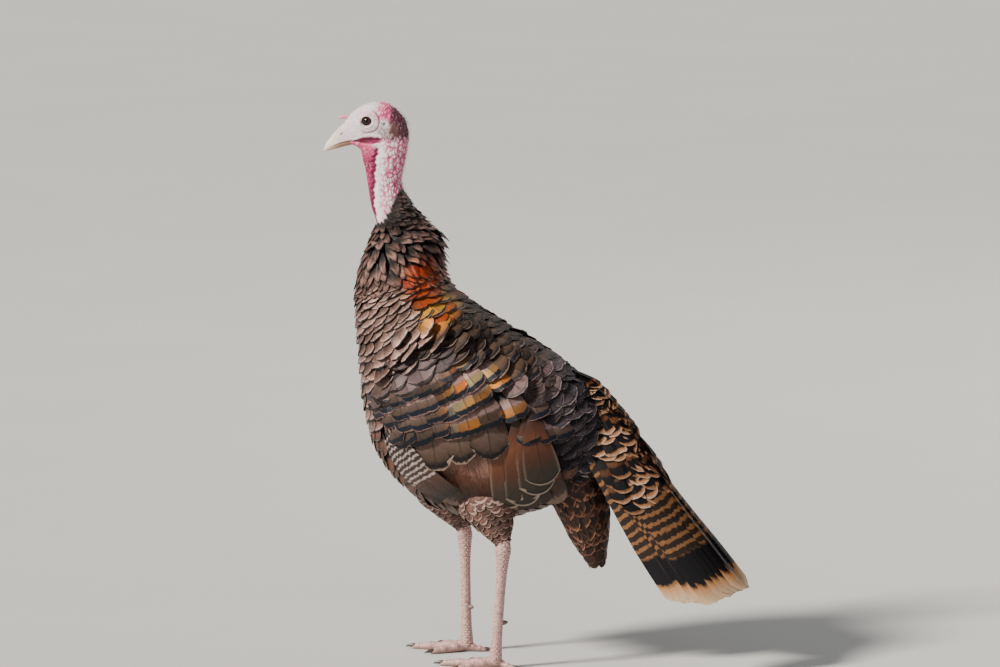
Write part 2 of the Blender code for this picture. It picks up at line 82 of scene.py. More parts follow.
BODY_ROUND = 2.25

# Folded wing, seen from the side: lower front edge and upper rear edge, from shoulder to tip.
WING_LOWER = ((-178, 392), (-185, 366), (-187, 334), (-181, 296), (-165, 262), (-140, 235), (-106, 216),
              (-70, 205), (-30, 201), (8, 206), (34, 218))
WING_UPPER = ((-168, 402), (-140, 425), (-98, 435), (-52, 424), (-10, 399), (24, 366), (45, 331),
              (53, 297), (55, 268), (53, 246), (48, 232))
WING_STANDOFF = 46.0                # where the body falls away, the wing keeps this far from the middle
WING_LIFT = (3.0, 10.0)             # of the vanes over the body: at the wing's edge, and over its middle

# Tail: the ridge (x, z), half-widths and droop at root and tip, depth of the stack of feathers.
TAIL_RIDGE = ((57, 367), (99, 324), (151, 264), (203, 199), (238, 158), (272, 117))
TAIL_HALF_WIDTH = (24.0, 60.0)
TAIL_DROP = (26.0, 62.0)
TAIL_THICK = (9.0, 3.0)
COVERT_SPAN = (0.02, 0.60)
COVERT_THICK = 12.0

# Under tail coverts: centre (x, z), half-depth, half-width.
UNDERTAIL = (((34, 296), 14, 26), ((48, 268), 32, 40), ((60, 236), 38, 44), ((72, 200), 33, 40),
             ((82, 160), 22, 28), ((89, 130), 11, 14), ((91, 116), 3, 4))

FOOT_X = {"left": -31.0, "right": -98.0}
HOCK_X = {"left": -20.0, "right": -101.0}
HOCK_Z = 152.0
HIP_BACK, HIP_Z = 34.0, 240.0        # of the hip from the hock, and over the floor
STANCE = 54.0
HIP_SPREAD = 42.0
ANKLE_Z = 21.0
THIGH = ((0.00, 20, 16), (0.12, 36, 25), (0.35, 40, 28), (0.60, 30, 22), (0.82, 19, 15), (1.00, 9, 8.5))
TOES = {"inner": (-40, 50, 6.4), "middle": (0, 72, 7.0), "outer": (38, 54, 6.4), "hind": (165, 27, 5.2)}


# ---------------- curves and surfaces

def spline(table, t):
    """Catmull-Rom curve through the rows of table, read at t counted in rows."""
    table = np.asarray(table, float).reshape(len(table), -1)
    ends = 2 * table[[0, -1]] - table[[1, -2]]
    padded = np.vstack([ends[:1], table, ends[1:]])
    t = np.clip(np.asarray(t, float), 0.0, len(table) - 1.0)
    index = np.minimum(t.astype(int), len(table) - 2)
    u = (t - index)[..., None]
    before, start, end, after = (padded[index + k] for k in range(4))
    return 0.5 * (2 * start + (end - before) * u
                  + (2 * before - 5 * start + 4 * end - after) * u ** 2
                  + (3 * start - before - 3 * end + after) * u ** 3)


def unit(v):
    """Vectors scaled to length one."""
    return v / np.maximum(np.linalg.norm(v, axis=-1, keepdims=True), 1e-9)


def smoothstep(low, high, value):
    """Nought below low, one above high, with a smooth S between."""
    t = np.clip((value - low) / (high - low), 0, 1)
    return t * t * (3 - 2 * t)


def bell(value, centre, width):
    """Gaussian bump about centre."""
    return np.exp(-((value - centre) / width) ** 2)


def hashed(*values):
    """Repeatable pseudo-random numbers in 0..1: the fraction of a large sine of the inputs."""
    mixed = sum(np.asarray(v, float) * k for v, k in zip(values, (12.9898, 78.233, 37.719, 9.131)))
    return np.modf(np.abs(np.sin(mixed) * 43758.5453))[0]


def circle(count):
    """Angles of even steps round a full turn, from nought."""
    return np.linspace(0, FULL_TURN, count, endpoint=False)


def grid(down, across):
    """Every value of down with every value of across, as two arrays of rows and columns."""
    return np.meshgrid(down, across, indexing="ij")


def run_along(points):
    """Distance of each point from the first, measured along the line through them."""
    return np.concatenate([[0], np.cumsum(np.linalg.norm(np.diff(points, axis=0), axis=1))])


def signed_power(value, power):
    """The size of value raised to a power, with value's own sign."""
    return np.sign(value) * np.abs(value) ** power


def ripple(points, scale, seed=0.0):
    """Soft lumps: a sum of six sines along slanted directions, at wavelengths near scale."""
    total = np.zeros(points.shape[:-1])
    for k in range(6):
        way = np.array([math.sin(k * 2.4 + seed), math.cos(k * 1.7 + seed), math.sin(k * 3.1 + 1 + seed)])
        total += np.sin(points @ way * (FULL_TURN / scale * (0.8 + 0.09 * k)) + k * 1.3 + seed)
    return total / 6


def body(s, turn):
    """Envelope of head, neck and trunk: a superellipse between the ventral and the dorsal rail.

    s counts sections; turn runs from the dorsal line, round the right side, to the ventral line.
    """
    row = spline([(*v, *d, w) for _, v, d, w, _ in SECTIONS], s)
    ventral, dorsal, half = row[..., 0:2], row[..., 2:4], row[..., 4]
    power = 2.0 / BODY_ROUND
    flat = (ventral + dorsal) / 2 + (dorsal - ventral) / 2 * signed_power(np.cos(turn), power)[..., None]
    return np.stack([flat[..., 0], half * signed_power(np.sin(turn), power), flat[..., 1]], axis=-1)


def locate(lower, upper, x, z):
    """Row and place across (-1 lower edge, 1 upper edge) of side-view points among straight rows.

    Halves the span of rows again and again, keeping the half on whose side the point lies.
    """
    low, high = np.zeros(x.shape), np.full(x.shape, len(lower) - 1.0)
    for _ in range(26):
        row = (low + high) / 2
        start, stop = spline(lower, row), spline(upper, row)
        run = stop - start
        ahead = run[..., 0] * (z - start[..., 1]) - run[..., 1] * (x - start[..., 0]) < 0
        low, high = np.where(ahead, row, low), np.where(ahead, high, row)
    share = ((x - start[..., 0]) * run[..., 0] + (z - start[..., 1]) * run[..., 1]) / (run * run).sum(-1)
    return row, 2 * share - 1


BODY_FROM = 10
VENTRAL = tuple(row[1] for row in SECTIONS[BODY_FROM:])
DORSAL = tuple(row[2] for row in SECTIONS[BODY_FROM:])
HALF = tuple(row[3] for row in SECTIONS[BODY_FROM:])


def body_width(x, z):
    """Half-width of the body at a point of its side view, and the place across its row there."""
    row, across = locate(VENTRAL, DORSAL, x, z)
    inside = np.clip(1 - np.abs(across) ** BODY_ROUND, 0, 1)
    return spline(HALF, row)[..., 0] * inside ** (1 / BODY_ROUND), across


def wing(x, z):
    """Outer face of the left wing over its side view, lying on the body and fullest in its middle."""
    row, across = locate(WING_LOWER, WING_UPPER, x, z)
    along = 2 * row / (len(WING_LOWER) - 1) - 1
    fullness = np.clip(1 - along ** 4, 0, 1) * np.clip(1 - across ** 4, 0, 1)
    width, up_body = body_width(x, z)
    rest = (width ** 4 + (WING_STANDOFF * smoothstep(0.9, 0.5, up_body)) ** 4) ** 0.25
    return np.stack([x, -(rest + WING_LIFT[0] + (WING_LIFT[1] - WING_LIFT[0]) * fullness), z], axis=-1)


TAIL_KNOTS = run_along(np.array(TAIL_RIDGE, float))
TAIL_LENGTH = TAIL_KNOTS[-1]


def tail(share, q, lift=0.0):
    """Roofed fan: share runs down the ridge, q across (-1 left, 1 right); lift is off its face.

    Its half-width and the droop of its sides grow as powers of share, and a side droops as a power
    of its distance from the ridge.  Past the ridge's end the fan runs on straight.
    """
    spread_out = np.clip(share, 0, 1)
    width = TAIL_HALF_WIDTH[0] + (TAIL_HALF_WIDTH[1] - TAIL_HALF_WIDTH[0]) * spread_out ** 0.8
    drop = TAIL_DROP[0] + (TAIL_DROP[1] - TAIL_DROP[0]) * spread_out ** 0.7
    fall = lift - drop * np.abs(q) ** 1.7
    place = spline(TAIL_RIDGE, np.interp(spread_out, TAIL_KNOTS / TAIL_LENGTH, np.arange(len(TAIL_RIDGE))))
    ends = np.array(TAIL_RIDGE[-1], float) - TAIL_RIDGE[0]
    ends = ends / np.linalg.norm(ends)
    beyond = (share - spread_out) * TAIL_LENGTH
    return np.stack([place[..., 0] + ends[0] * beyond - ends[1] * fall, width * q,
                     place[..., 1] + ends[1] * beyond + ends[0] * fall], axis=-1)


def tail_top(share, q):
    """Upper face of the stack of tail feathers and of the coverts over its root."""
    stack = TAIL_THICK[0] + (TAIL_THICK[1] - TAIL_THICK[0]) * np.clip(share, 0, 1)
    start, end = COVERT_SPAN
    taper = 1 - 0.85 * np.clip((share - start) / (end - start), 0, 1) ** 2.2
    cover = COVERT_THICK * taper * (1 - 0.55 * np.abs(q) ** 2) * smoothstep(end + 0.02, end - 0.1, share)
    return tail(share, q, stack + cover)


def tube(path, deep, wide, across=(0.0, 1.0, 0.0)):
    """Surface round a path, elliptic: deep along its normal, wide along across; s counts path rows."""
    across = np.array(across, float)

    def surface(s, turn):
        """The path's point, and a step out from it along the normal and across."""
        centre = spline(path, s)
        ahead, behind = np.clip(s + 0.02, 0, len(path) - 1), np.clip(s - 0.02, 0, None)
        way = unit(spline(path, ahead) - spline(path, behind))
        side = unit(across - way * (way @ across)[..., None])
        out = np.cross(way, side)
        radii = spline(np.stack([deep, wide], axis=1), s)
        return (centre + out * (radii[..., :1] * np.cos(turn)[..., None])
                + side * (radii[..., 1:] * np.sin(turn)[..., None]))
    return surface


def coat_depth(s, turn):
    """Depth of the coat: the section's own, and deeper under the raised hackles of the nape."""
    depth = spline([row[4] for row in SECTIONS], s)[..., 0]
    nape = np.clip(np.cos(turn), 0, 1) ** 2 * bell(s, PLACE["raised hackle"], 1.5)
    return depth + 5.0 * nape


def frame_of(surface, a, b, step=1e-3):
    """Point, the two tangents and the unit normal of a surface at (a, b), from steps either way."""
    along = (surface(a + step, b) - surface(a - step, b)) / (2 * step)
    across = (surface(a, b + step) - surface(a, b - step)) / (2 * step)
    return surface(a, b), along, across, unit(np.cross(along, across))


# ---------------- meshes

def grid_faces(rows, cols, closed=False, ring=False):
    """Quads of a grid whose rows run first; closed joins the last column to the first, ring the rows."""
    i, j = grid(np.arange(rows if ring else rows - 1), np.arange(cols if closed else cols - 1))
    down, after = (i + 1) % rows, (j + 1) % cols
    corners = [i * cols + j, down * cols + j, down * cols + after, i * cols + after]
    return np.stack(corners, axis=-1).reshape(-1, 4)


def end_fans(rows, cols):
    """Triangles that shut both ends of a closed grid, to two points that follow its own."""
    ring = np.arange(cols)
    after = (ring + 1) % cols
    last = (rows - 1) * cols
    return (np.stack([np.full(cols, rows * cols), ring, after], axis=1),
            np.stack([np.full(cols, rows * cols + 1), last + after, last + ring], axis=1))


def make_piece(name, points, faces, finish, maps=None, numbers=None, slot=None, replaces=(), sharp=None):
    """A mesh piece from points in millimetres and arrays of faces with equal corner counts."""
    mesh = bpy.data.meshes.new(name)
    corners = np.concatenate([f.ravel() for f in faces]).astype(np.int32)
    sizes = np.concatenate([np.full(len(f), f.shape[1]) for f in faces])
    mesh.vertices.add(len(points))
    mesh.loops.add(len(corners))
    mesh.polygons.add(len(sizes))
    mesh.vertices.foreach_set("co", (np.asarray(points) * MM).astype(np.float32).ravel())
    mesh.loops.foreach_set("vertex_index", corners)
    mesh.polygons.foreach_set("loop_start", np.concatenate([[0], np.cumsum(sizes)[:-1]]).astype(np.int32))
    mesh.update(calc_edges=True)
    mesh.shade_smooth()
    if sharp:
        mesh.set_sharp_from_angle(angle=math.radians(sharp))
    for label, uv in (maps or {}).items():
        mesh.uv_layers.new(name=label).uv.foreach_set("vector", uv[corners].astype(np.float32).ravel())
    for label, values in (numbers or {}).items():
        layer = mesh.attributes.new(label, "FLOAT", "POINT")
        layer.data.foreach_set("value", np.asarray(values, np.float32).ravel())
    mesh.materials.append(finish)
    piece = bpy.data.objects.new(name, mesh)
    bpy.context.collection.objects.link(piece)
    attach(piece, "root")
    if replaces:
        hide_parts(*replaces)


def closed_loft(name, rings, finish, numbers=None, **settings):
    """Closed piece from rings of points, each end shut by a fan to the ring's middle."""
    points = np.vstack([rings.reshape(-1, 3), rings[0].mean(0), rings[-1].mean(0)])
    faces = [grid_faces(*rings.shape[:2], closed=True), *end_fans(*rings.shape[:2])]
    carried = {label: np.append(share.ravel(), [share[0].mean(), share[-1].mean()])
               for label, share in (numbers or {}).items()}
    make_piece(name, points, faces, finish, numbers=carried, **settings)


# ---------------- feathers

def vane_faces(rows, cols):
    """Faces of one closed vane: a top grid, and a keel of rows - 2 points below its shaft."""
    top = lambda i, j: i * cols + j
    keel = lambda i: rows * cols + i - 1
    last, edge = rows - 1, cols - 1
    quads = [(top(i, j), top(i + 1, j), top(i + 1, j + 1), top(i, j + 1))
             for i in range(last) for j in range(edge)]
    for i in range(1, last - 1):
        quads.append((top(i, 0), keel(i), keel(i + 1), top(i + 1, 0)))
        quads.append((keel(i), top(i, edge), top(i + 1, edge), keel(i + 1)))
    root = [(1, 0)] + [(0, j) for j in range(cols)] + [(1, edge)]
    tip = [(last - 1, edge)] + [(last, j) for j in range(edge, -1, -1)] + [(last - 1, 0)]
    tris = [(keel(1), top(*p), top(*q)) for p, q in zip(root, root[1:])]
    tris += [(keel(last - 1), top(*p), top(*q)) for p, q in zip(tip, tip[1:])]
    return np.array(quads), np.array(tris)


def lay(surface, a, b, heading, length, width, sink, rise, rows=10, cols=9, round_tip=0.22,
        blunt=2.4, camber=0.10, thick=0.35, waist=0.72, seed=1.0, roll=5.0, sway=4.0,
        base=0.0, lean=0.0, vary=1.0, bow=0.0, fringe=0.03):
    """Closed vanes laid along a surface.

    Each vane starts at (a, b), sink below the surface, and runs for its length along its heading
    (degrees from the first tangent towards the second), rising to rise above the surface at its tip.
    Across, it is width wide with sides that sag by camber of the half-width; its sides are held
    back at the tip by round_tip of the length times the blunt-th power of the distance from the shaft,
    and its end is notched at random by up to fringe of the length.  sway, roll and vary are the
    chance differences between vanes; base lifts, lean tips and bow bends a vane as a whole.
    """
    a, b = np.asarray(a, float), np.asarray(b, float)
    count = len(a)
    pick = np.arange(count)
    each = lambda v: np.broadcast_to(np.asarray(v, float), (count,)).copy()
    heading, length, width, sink, rise = (each(v) for v in (heading, length, width, sink, rise))
    chance = [hashed(pick + 1, seed, k) - 0.5 for k in range(5)]
    heading = np.radians(heading + sway * 2 * chance[0])
    length = length * (1 + 0.16 * vary * chance[1])
    width = width * (1 + 0.14 * vary * chance[2])

    _, along, across, normal = frame_of(surface, a, b)
    first = unit(along)
    way = first * np.cos(heading)[:, None] + unit(np.cross(normal, first)) * np.sin(heading)[:, None]
    e, f, g = (along * along).sum(-1), (along * across).sum(-1), (across * across).sum(-1)
    p, q = (along * way).sum(-1), (across * way).sum(-1)
    det = np.maximum(e * g - f * f, 1e-9)
    step_a, step_b = (g * p - f * q) / det, (e * q - f * p) / det

    t = 1 - (1 - np.linspace(0, 1, rows)) ** 1.25
    side = np.linspace(-1, 1, cols)
    path_a = a[:, None] + step_a[:, None] * length[:, None] * t
    path_b = b[:, None] + step_b[:, None] * length[:, None] * t
    here, _, _, up = frame_of(surface, path_a, path_b)
    tip_lift = rise * (1 + vary * chance[3]) + 0.8 * vary * chance[3]
    lift = each(base)[:, None] - sink[:, None] * (1 - t) ** 1.1 + tip_lift[:, None] * t ** 1.6
    spine = here + up * lift[..., None]
    tangent = unit(np.gradient(spine, axis=1))
    up = unit(up - tangent * (up * tangent).sum(-1, keepdims=True))
    out = np.cross(up, tangent)
    half = width[:, None] / 2 * (waist * (1 - (1 - t) ** 2.2) + (1 - waist) * np.sin(math.pi * t * 0.62))
    half = half + 0.06 * width[:, None]
    spine = spine + out * (each(bow)[:, None] * 4 * t * (1 - t))[..., None]

    notch = hashed(pick[:, None] + 2, np.arange(cols), seed)
    rounding = round_tip * (t ** 3)[:, None] * np.abs(side) ** blunt
    held = length[:, None, None] * (rounding + fringe * (t ** 8)[:, None] * notch[:, None, :])
    tilt = (np.radians(roll) * 2 * chance[4] + np.radians(each(lean)))[:, None, None] * side
    points = (spine[:, :, None, :] + out[:, :, None, :] * (half[..., None] * side)[..., None]
              + up[:, :, None, :] * (half[..., None] * (tilt - camber * side ** 2))[..., None]
              - tangent[:, :, None, :] * held[..., None])
    keel = spine[:, 1:-1] - up[:, 1:-1] * thick
    u, v = grid(t, (side + 1) / 2)[::-1]
    return {"points": np.concatenate([points.reshape(count, rows * cols, 3), keel], axis=1),
            "uv": np.stack([np.append(u, np.full(rows - 2, 0.5)), np.append(v, t[1:-1])], axis=1),
            "a": a, "b": b, "shape": (rows, cols), "lot": hashed(pick + 3, seed + 5)}


def mirrored(tract):
    """The same vanes on the other side of the middle plane."""
    return {**tract, "points": tract["points"] * [1, -1, 1], "flip": not tract.get("flip", False)}


def feather_piece(name, tracts, finish, slot, patch=0.003, replaces=()):
    """One piece of coat from several lays of vanes, with its maps and each vane's own number.

    On the OFBake map a vane is a small patch at its root's place; with no patch size, each vane has
    a strip of its own, as long quills need for their bars.
    """
    points, quads, tris, vane, bake, lots = [], [], [], [], [], []
    base, placed, total = 0, 0, sum(len(tract["a"]) for tract in tracts)
    every_a = np.concatenate([tract["a"] for tract in tracts])
    every_b = np.concatenate([tract["b"] for tract in tracts])
    for tract in tracts:
        uv = tract["uv"]
        count, each = tract["points"].shape[:2]
        shift = base + np.arange(count)[:, None, None] * each
        quad, tri = vane_faces(*tract["shape"])
        turned = slice(None, None, -1) if tract.get("flip") else slice(None)
        quads.append((quad + shift).reshape(-1, 4)[:, turned])
        tris.append((tri + shift).reshape(-1, 3)[:, turned])
        points.append(tract["points"].reshape(-1, 3))
        vane.append(np.tile(uv, (count, 1)))
        if patch:
            root = np.stack([spread(tract["a"], every_a), spread(tract["b"], every_b)], axis=1)
            bake.append((root[:, None, :] + (uv - 0.5) * patch).reshape(-1, 2))
        else:
            strip = (np.arange(count) + placed)[:, None, None] / total
            bake.append((strip * [1, 0] + uv * [0.9 / total, 0.96] + [0.05 / total, 0.02]).reshape(-1, 2))
        placed += count
        lots.append(np.repeat(tract["lot"], each))
        base += count * each
    make_piece(name, np.concatenate(points), [np.concatenate(quads), np.concatenate(tris)], finish,
               {"Vane": np.concatenate(vane), "OFBake": np.concatenate(bake)},
               {"lot": np.concatenate(lots)}, slot, replaces, sharp=SHARP_EDGE)


def spread(values, every):
    """Values mapped to 0.01..0.99 of the range of every."""
    low, high = every.min(), every.max()
    return 0.01 + 0.98 * (values - low) / max(high - low, 1e-6)


def at(value, *where):
    """The value itself, or what it gives at a place when it is a rule."""
    return value(*where) if callable(value) else value


def growing(first, start, rate):
    """A rule of s: first where s is start, and rate more for each section after it."""
    return lambda s: first + (s - start) * rate


def body_roots(s_from, s_to, row_step, gap_across, keep):
    """Staggered roots over the body: rows at even steps along the side, evenly spaced around.

    row_step and gap_across are in millimetres, plain or a rule of s; keep(s, turn, point) says which
    roots stay.  Returns s, turn, the local distance between rows, and the spacing around.
    """
    fine = np.linspace(s_from, s_to, 400)
    reach = run_along(body(fine, np.full(400, math.pi / 2)))
    places, at_reach = [], 0.0
    while at_reach < reach[-1]:
        places.append(float(np.interp(at_reach, reach, fine)))
        at_reach += at(row_step, places[-1])
    turns = np.linspace(0, FULL_TURN, 241)
    found = []
    for k, s in enumerate(places):
        gap = at(gap_across, s)
        around = run_along(body(np.full(241, s), turns))
        number = max(8, int(round(around[-1] / gap)))
        pick = np.arange(number)
        turn = np.interp((pick + 0.5 * (k % 2)) / number * around[-1], around, turns)
        s_here = s + 0.0 * turn
        ahead = (places[k + 1] if k + 1 < len(places) else s + (s - places[k - 1])) - s
        rate = np.linalg.norm(body(s_here + 1e-3, turn) - body(s_here - 1e-3, turn), axis=-1) / 2e-3
        s_here = s_here + (hashed(pick, k) - 0.5) * 0.5 * ahead
        found.append(np.stack([s_here, turn, rate * ahead, np.full(number, gap)]))
    s, turn, step, gap = np.concatenate(found, axis=1)
    stay = keep(s, turn, body(s, turn))
    return s[stay], turn[stay], step[stay], gap[stay]


# ---------------- finishes

class Finish:
    """A Principled material and short ways of building its nodes."""

    def __init__(self, name):
        """A new material with its shader, ready to be fed."""
        self.material = bpy.data.materials.new(name)
        self.material.use_nodes = True
        self.tree = self.material.node_tree
        self.shader = self.tree.nodes["Principled BSDF"]

    def node(self, kind, *values, **settings):
        """A new node with its settings, and its first inputs fed in order."""
        made = self.tree.nodes.new(kind)
        for key, value in settings.items():
            setattr(made, key, value)
        for socket, value in zip(made.inputs, values):
            self.feed(socket, value)
        return made

    def feed(self, socket, value):
        """A link from another node's output, or a plain number or colour set on the socket."""
        if isinstance(value, bpy.types.NodeSocket):
            self.tree.links.new(value, socket)
        elif value is not None:
            socket.default_value = (*value, 1.0) if isinstance(value, tuple) else value

    def math(self, operation, a, b=None, clamp=False):
        """One step of arithmetic on two values."""
        return self.node("ShaderNodeMath", a, b, operation=operation, use_clamp=clamp).outputs[0]

    def times(self, a, b):
        """Product of two values."""
        return self.math("MULTIPLY", a, b)

    def plus(self, a, b):
        """Sum of two values."""
        return self.math("ADD", a, b)

    def swing(self, value, size):
        """A value from 0..1 made to swing about nought, size from end to end."""
        return self.times(self.math("SUBTRACT", value, 0.5), size)

    def ramp(self, value, stops):
        """Colour read from stops of (place, colour)."""
        made = self.node("ShaderNodeValToRGB", value)
        points = made.color_ramp.elements
        while len(points) < len(stops):
            points.new(0.5)
        for point, (place, colour) in zip(points, stops):
            point.position = place
            point.color = (*colour, 1.0)
        return made.outputs[0]

    def mix(self, share, a, b):
        """Colour a, turned into b by share."""
        made = self.node("ShaderNodeMix", share, data_type="RGBA", blend_type="MIX")
        self.feed(made.inputs[6], a)
        self.feed(made.inputs[7], b)
        return made.outputs[2]

    def coords(self):
        """Object coordinates, in metres."""
        return self.node("ShaderNodeTexCoord").outputs["Object"]

    def axes(self, vector):
        """The three parts of a vector."""
        return self.node("ShaderNodeSeparateXYZ", vector).outputs

    def vane(self):
        """Place on the feather: across 0..1, along 0..1."""
        return self.axes(self.node("ShaderNodeUVMap", uv_map="Vane").outputs[0])[:2]

    def barb_space(self, slant, lot, fine, long):
        """Coordinates stretched along the barbs, different on every feather."""
        return self.node("ShaderNodeCombineXYZ", self.times(slant, fine), self.times(self.vane()[0], long),
                         self.times(lot, 40.0)).outputs[0]

    def number(self, label):
        """A number that the mesh carries at each point."""
        return self.node("ShaderNodeAttribute", attribute_name=label).outputs["Fac"]

    def noise(self, scale, detail=2.0, vector=None, stretch=None, rough=0.5):
        """Soft noise, scale of it to the metre, stretched along the axes where asked."""
        made = self.node("ShaderNodeTexNoise")
        made.inputs["Scale"].default_value = scale
        made.inputs["Detail"].default_value = detail
        made.inputs["Roughness"].default_value = rough
        vector = vector or self.coords()
        if stretch:
            mapped = self.node("ShaderNodeMapping", vector)
            mapped.inputs["Scale"].default_value = stretch
            vector = mapped.outputs[0]
        self.feed(made.inputs["Vector"], vector)
        return made.outputs[0]

    def spot(self, centre, size, edge=0.5):
        """Mask round a place in millimetres: one inside size, fading to nought by 1 + edge of it."""
        vector = self.coords()
        for operation, place in (("SUBTRACT", centre), ("DIVIDE", size)):
            made = self.node("ShaderNodeVectorMath", vector, operation=operation)
            made.inputs[1].default_value = [c * MM for c in place]
            vector = made.outputs[0]
        reach = self.node("ShaderNodeVectorMath", vector, operation="LENGTH")
        return self.range(reach.outputs["Value"], 1.0 + edge, 1.0 - edge)

    def range(self, value, low, high):
        """Nought at low, one at high, smooth between."""
        return self.node("ShaderNodeMapRange", value, low, high, interpolation_type="SMOOTHSTEP").outputs[0]

    def bump(self, height, distance, strength=0.6):
        """Relief of the shading, distance in metres."""
        made = self.node("ShaderNodeBump")
        made.inputs["Strength"].default_value = strength
        made.inputs["Distance"].default_value = distance
        self.feed(made.inputs["Height"], height)
        return made.outputs[0]

    def close(self, colour, rough=0.5, metal=0.0, normal=None, specular=0.5, coat=0.0):
        """The finished material, its shader fed."""
        values = {"Base Color": colour, "Roughness": rough, "Metallic": metal, "Normal": normal,
                  "Specular IOR Level": specular, "Coat Weight": coat}
        for label, value in values.items():
            self.feed(self.shader.inputs[label], value)
        return self.material


SHAFT = (0.03, 0.02, 0.015)
STREAK = 0.12                       # how much the barbs lighten and darken a vane
BARBS = 60.0                        # along one feather


def plume(name, stops, edge=None, edge_share=0.6, rough=0.40, metal=0.0, tints=(), wobble=0.05, bars=None,
          specular=0.22, vary=0.5, fray=0.0):
    """Feather finish: colours along the vane from root to tip, a rim, a shaft, barbs and tints.

    tints are (colour stops, centre, size, strength, from, to): patches on the whole bird, worn
    between two places along the vane.  bars are (colour, count, sharpness, from, to): cross bars.
    fray adds long streaks of soft barbs.
    """
    f = Finish(name)
    across, along = f.vane()
    lot = f.number("lot")
    off = f.times(f.math("ABSOLUTE", f.math("SUBTRACT", across, 0.5)), 2.0)
    waver = f.swing(f.noise(240.0, 2.0), wobble * 2)
    place = f.plus(along, f.plus(waver, f.swing(lot, wobble)))
    colour = f.ramp(place, stops)
    shine = metal
    for paint, centre, size, strength, start, stop in tints:
        mask = f.times(f.spot(centre, size), strength)
        choice = f.plus(f.times(lot, 0.5), f.times(f.noise(24.0), 0.55))
        worn = f.times(f.range(place, start - 0.05, start + 0.03), f.range(place, stop + 0.02, stop - 0.02))
        mask = f.times(mask, worn)
        colour = f.mix(mask, colour, f.ramp(choice, paint))
        shine = f.math("MAXIMUM", shine, f.times(mask, 0.45))
    if bars:
        bar_colour, number, sharp, start, stop = bars
        phase = f.plus(place, f.times(off, -0.015))
        wave = f.math("SINE", f.times(phase, number * FULL_TURN))
        wave = f.times(f.range(wave, 0.3 - sharp, 0.3 + sharp), f.range(along, start, start + 0.05))
        colour = f.mix(f.times(wave, f.range(along, stop, stop - 0.03)), colour, bar_colour)
    if edge:
        rim = f.times(f.range(off, 0.80, 0.97), f.range(along, 0.35, 0.7))
        colour = f.mix(f.times(rim, edge_share), colour, edge)
    line = f.times(f.range(off, 0.07, 0.02), f.range(along, 0.97, 0.8))
    colour = f.mix(f.times(line, 0.6), colour, SHAFT)
    slant = f.plus(along, f.times(off, -0.35))
    comb = f.math("SINE", f.times(slant, BARBS * FULL_TURN))
    threads = f.noise(900.0, 1.0)
    shade = f.plus(f.times(comb, STREAK * 0.5), f.swing(threads, STREAK * 1.5))
    if fray:
        hair = f.noise(1.0, 3.0, f.barb_space(slant, lot, 16.0, 2.0), rough=0.6)
        shade = f.plus(shade, f.swing(hair, fray))
    shade = f.plus(shade, f.swing(lot, vary))
    value = f.node("ShaderNodeHueSaturation")
    f.feed(value.inputs["Value"], f.plus(shade, 1.0))
    f.feed(value.inputs["Color"], colour)
    height = f.plus(f.times(comb, 0.5), f.times(line, 1.5))
    rough = f.plus(rough, f.times(threads, 0.12))
    return f.close(value.outputs[0], rough, shine, f.bump(height, 0.00018, 0.5), specular)


def both_sides(paints, size, strength, start, stop):
    """Tints of a plume on both sides of the bird, from (colour stops, (x, distance from the middle, z))."""
    return tuple((paint, (x, side * y, z), size, strength, start, stop)
                 for side in SIDES.values() for paint, (x, y, z) in paints)


BLACK = (0.006, 0.005, 0.006)
DARK = (0.014, 0.010, 0.009)
UMBER = (0.034, 0.021, 0.016)
# pinkish brown and grey: the warm sheen of light on dark feathers, painted into their colour
SHEEN_PINK_BROWN = (0.150, 0.082, 0.066)
SHEEN_PINK_GREY = (0.28, 0.175, 0.160)
COPPER = (0.080, 0.029, 0.015)
AMBER = (0.44, 0.18, 0.018)
BUFF = (0.42, 0.20, 0.08)
PALE = (0.52, 0.37, 0.24)
BLUE_BLACK = (0.007, 0.009, 0.014)
EARTH = (0.125, 0.080, 0.062)

# Colour stops of the tints: one of them for each feather, by its own lot.
EMBER = ((0.15, (0.34, 0.035, 0.010)), (0.4, (0.60, 0.07, 0.012)), (0.65, (0.42, 0.10, 0.03)),
         (0.9, (0.55, 0.20, 0.03)))
GLOW = ((0.15, (0.62, 0.075, 0.012)), (0.4, (0.64, 0.16, 0.015)), (0.6, AMBER), (0.8, (0.34, 0.20, 0.035)),
        (0.95, (0.17, 0.20, 0.06)))
NIGHT = ((0.3, BLACK), (0.8, (0.020, 0.012, 0.010)))
# pinkish greys laid over the dark rump's side: painted sheen
ROSY_SHEEN = ((0.2, (0.16, 0.10, 0.095)), (0.5, (0.11, 0.07, 0.065)), (0.8, (0.20, 0.13, 0.12)))
BAND = ((0.24, (0.080, 0.046, 0.034)), (0.34, (0.36, 0.15, 0.022)), (0.48, (0.52, 0.13, 0.018)),
        (0.58, (0.40, 0.18, 0.04)), (0.68, (0.19, 0.15, 0.07)), (0.76, (0.10, 0.12, 0.085)),
        (0.84, (0.070, 0.045, 0.036)))


# ---------------- camera, floor and light

CAMERA_TURN, CAMERA_LIFT = math.radians(15.0), math.radians(8.0)
CAMERA_AWAY = 10.0                  # metres
CAMERA_AIM = (-0.0379, 0.4205)      # metres to the right of and above the frame's origin
VIEW_WIDTH = 1.28                   # metres across, at the bird
SENSOR = 36.0
LAMP_TARGET = np.array([0.0, 0.0, 0.35])
FLOOR_HALF = 60.0
# Soft lamps: name, place, size, power, colour.
SOFT_LAMPS = (("fill", (2.8, -3.2, 1.6), 3.0, 22.0, (0.90, 0.95, 1.0)),
              ("rim", (1.4, 3.2, 2.4), 1.6, 45.0, (1.0, 0.97, 0.92)))


def put_lamp(light, place):
    """A lamp hung at its place and turned towards the bird."""
    toward = LAMP_TARGET - np.array(place)
    lamp = bpy.data.objects.new(light.name, light)
    lamp.location = place
    lamp.rotation_euler = (math.atan2(math.hypot(toward[0], toward[1]), -toward[2]), 0.0,
                           math.atan2(toward[1], toward[0]) - math.pi / 2)
    bpy.context.collection.objects.link(lamp)


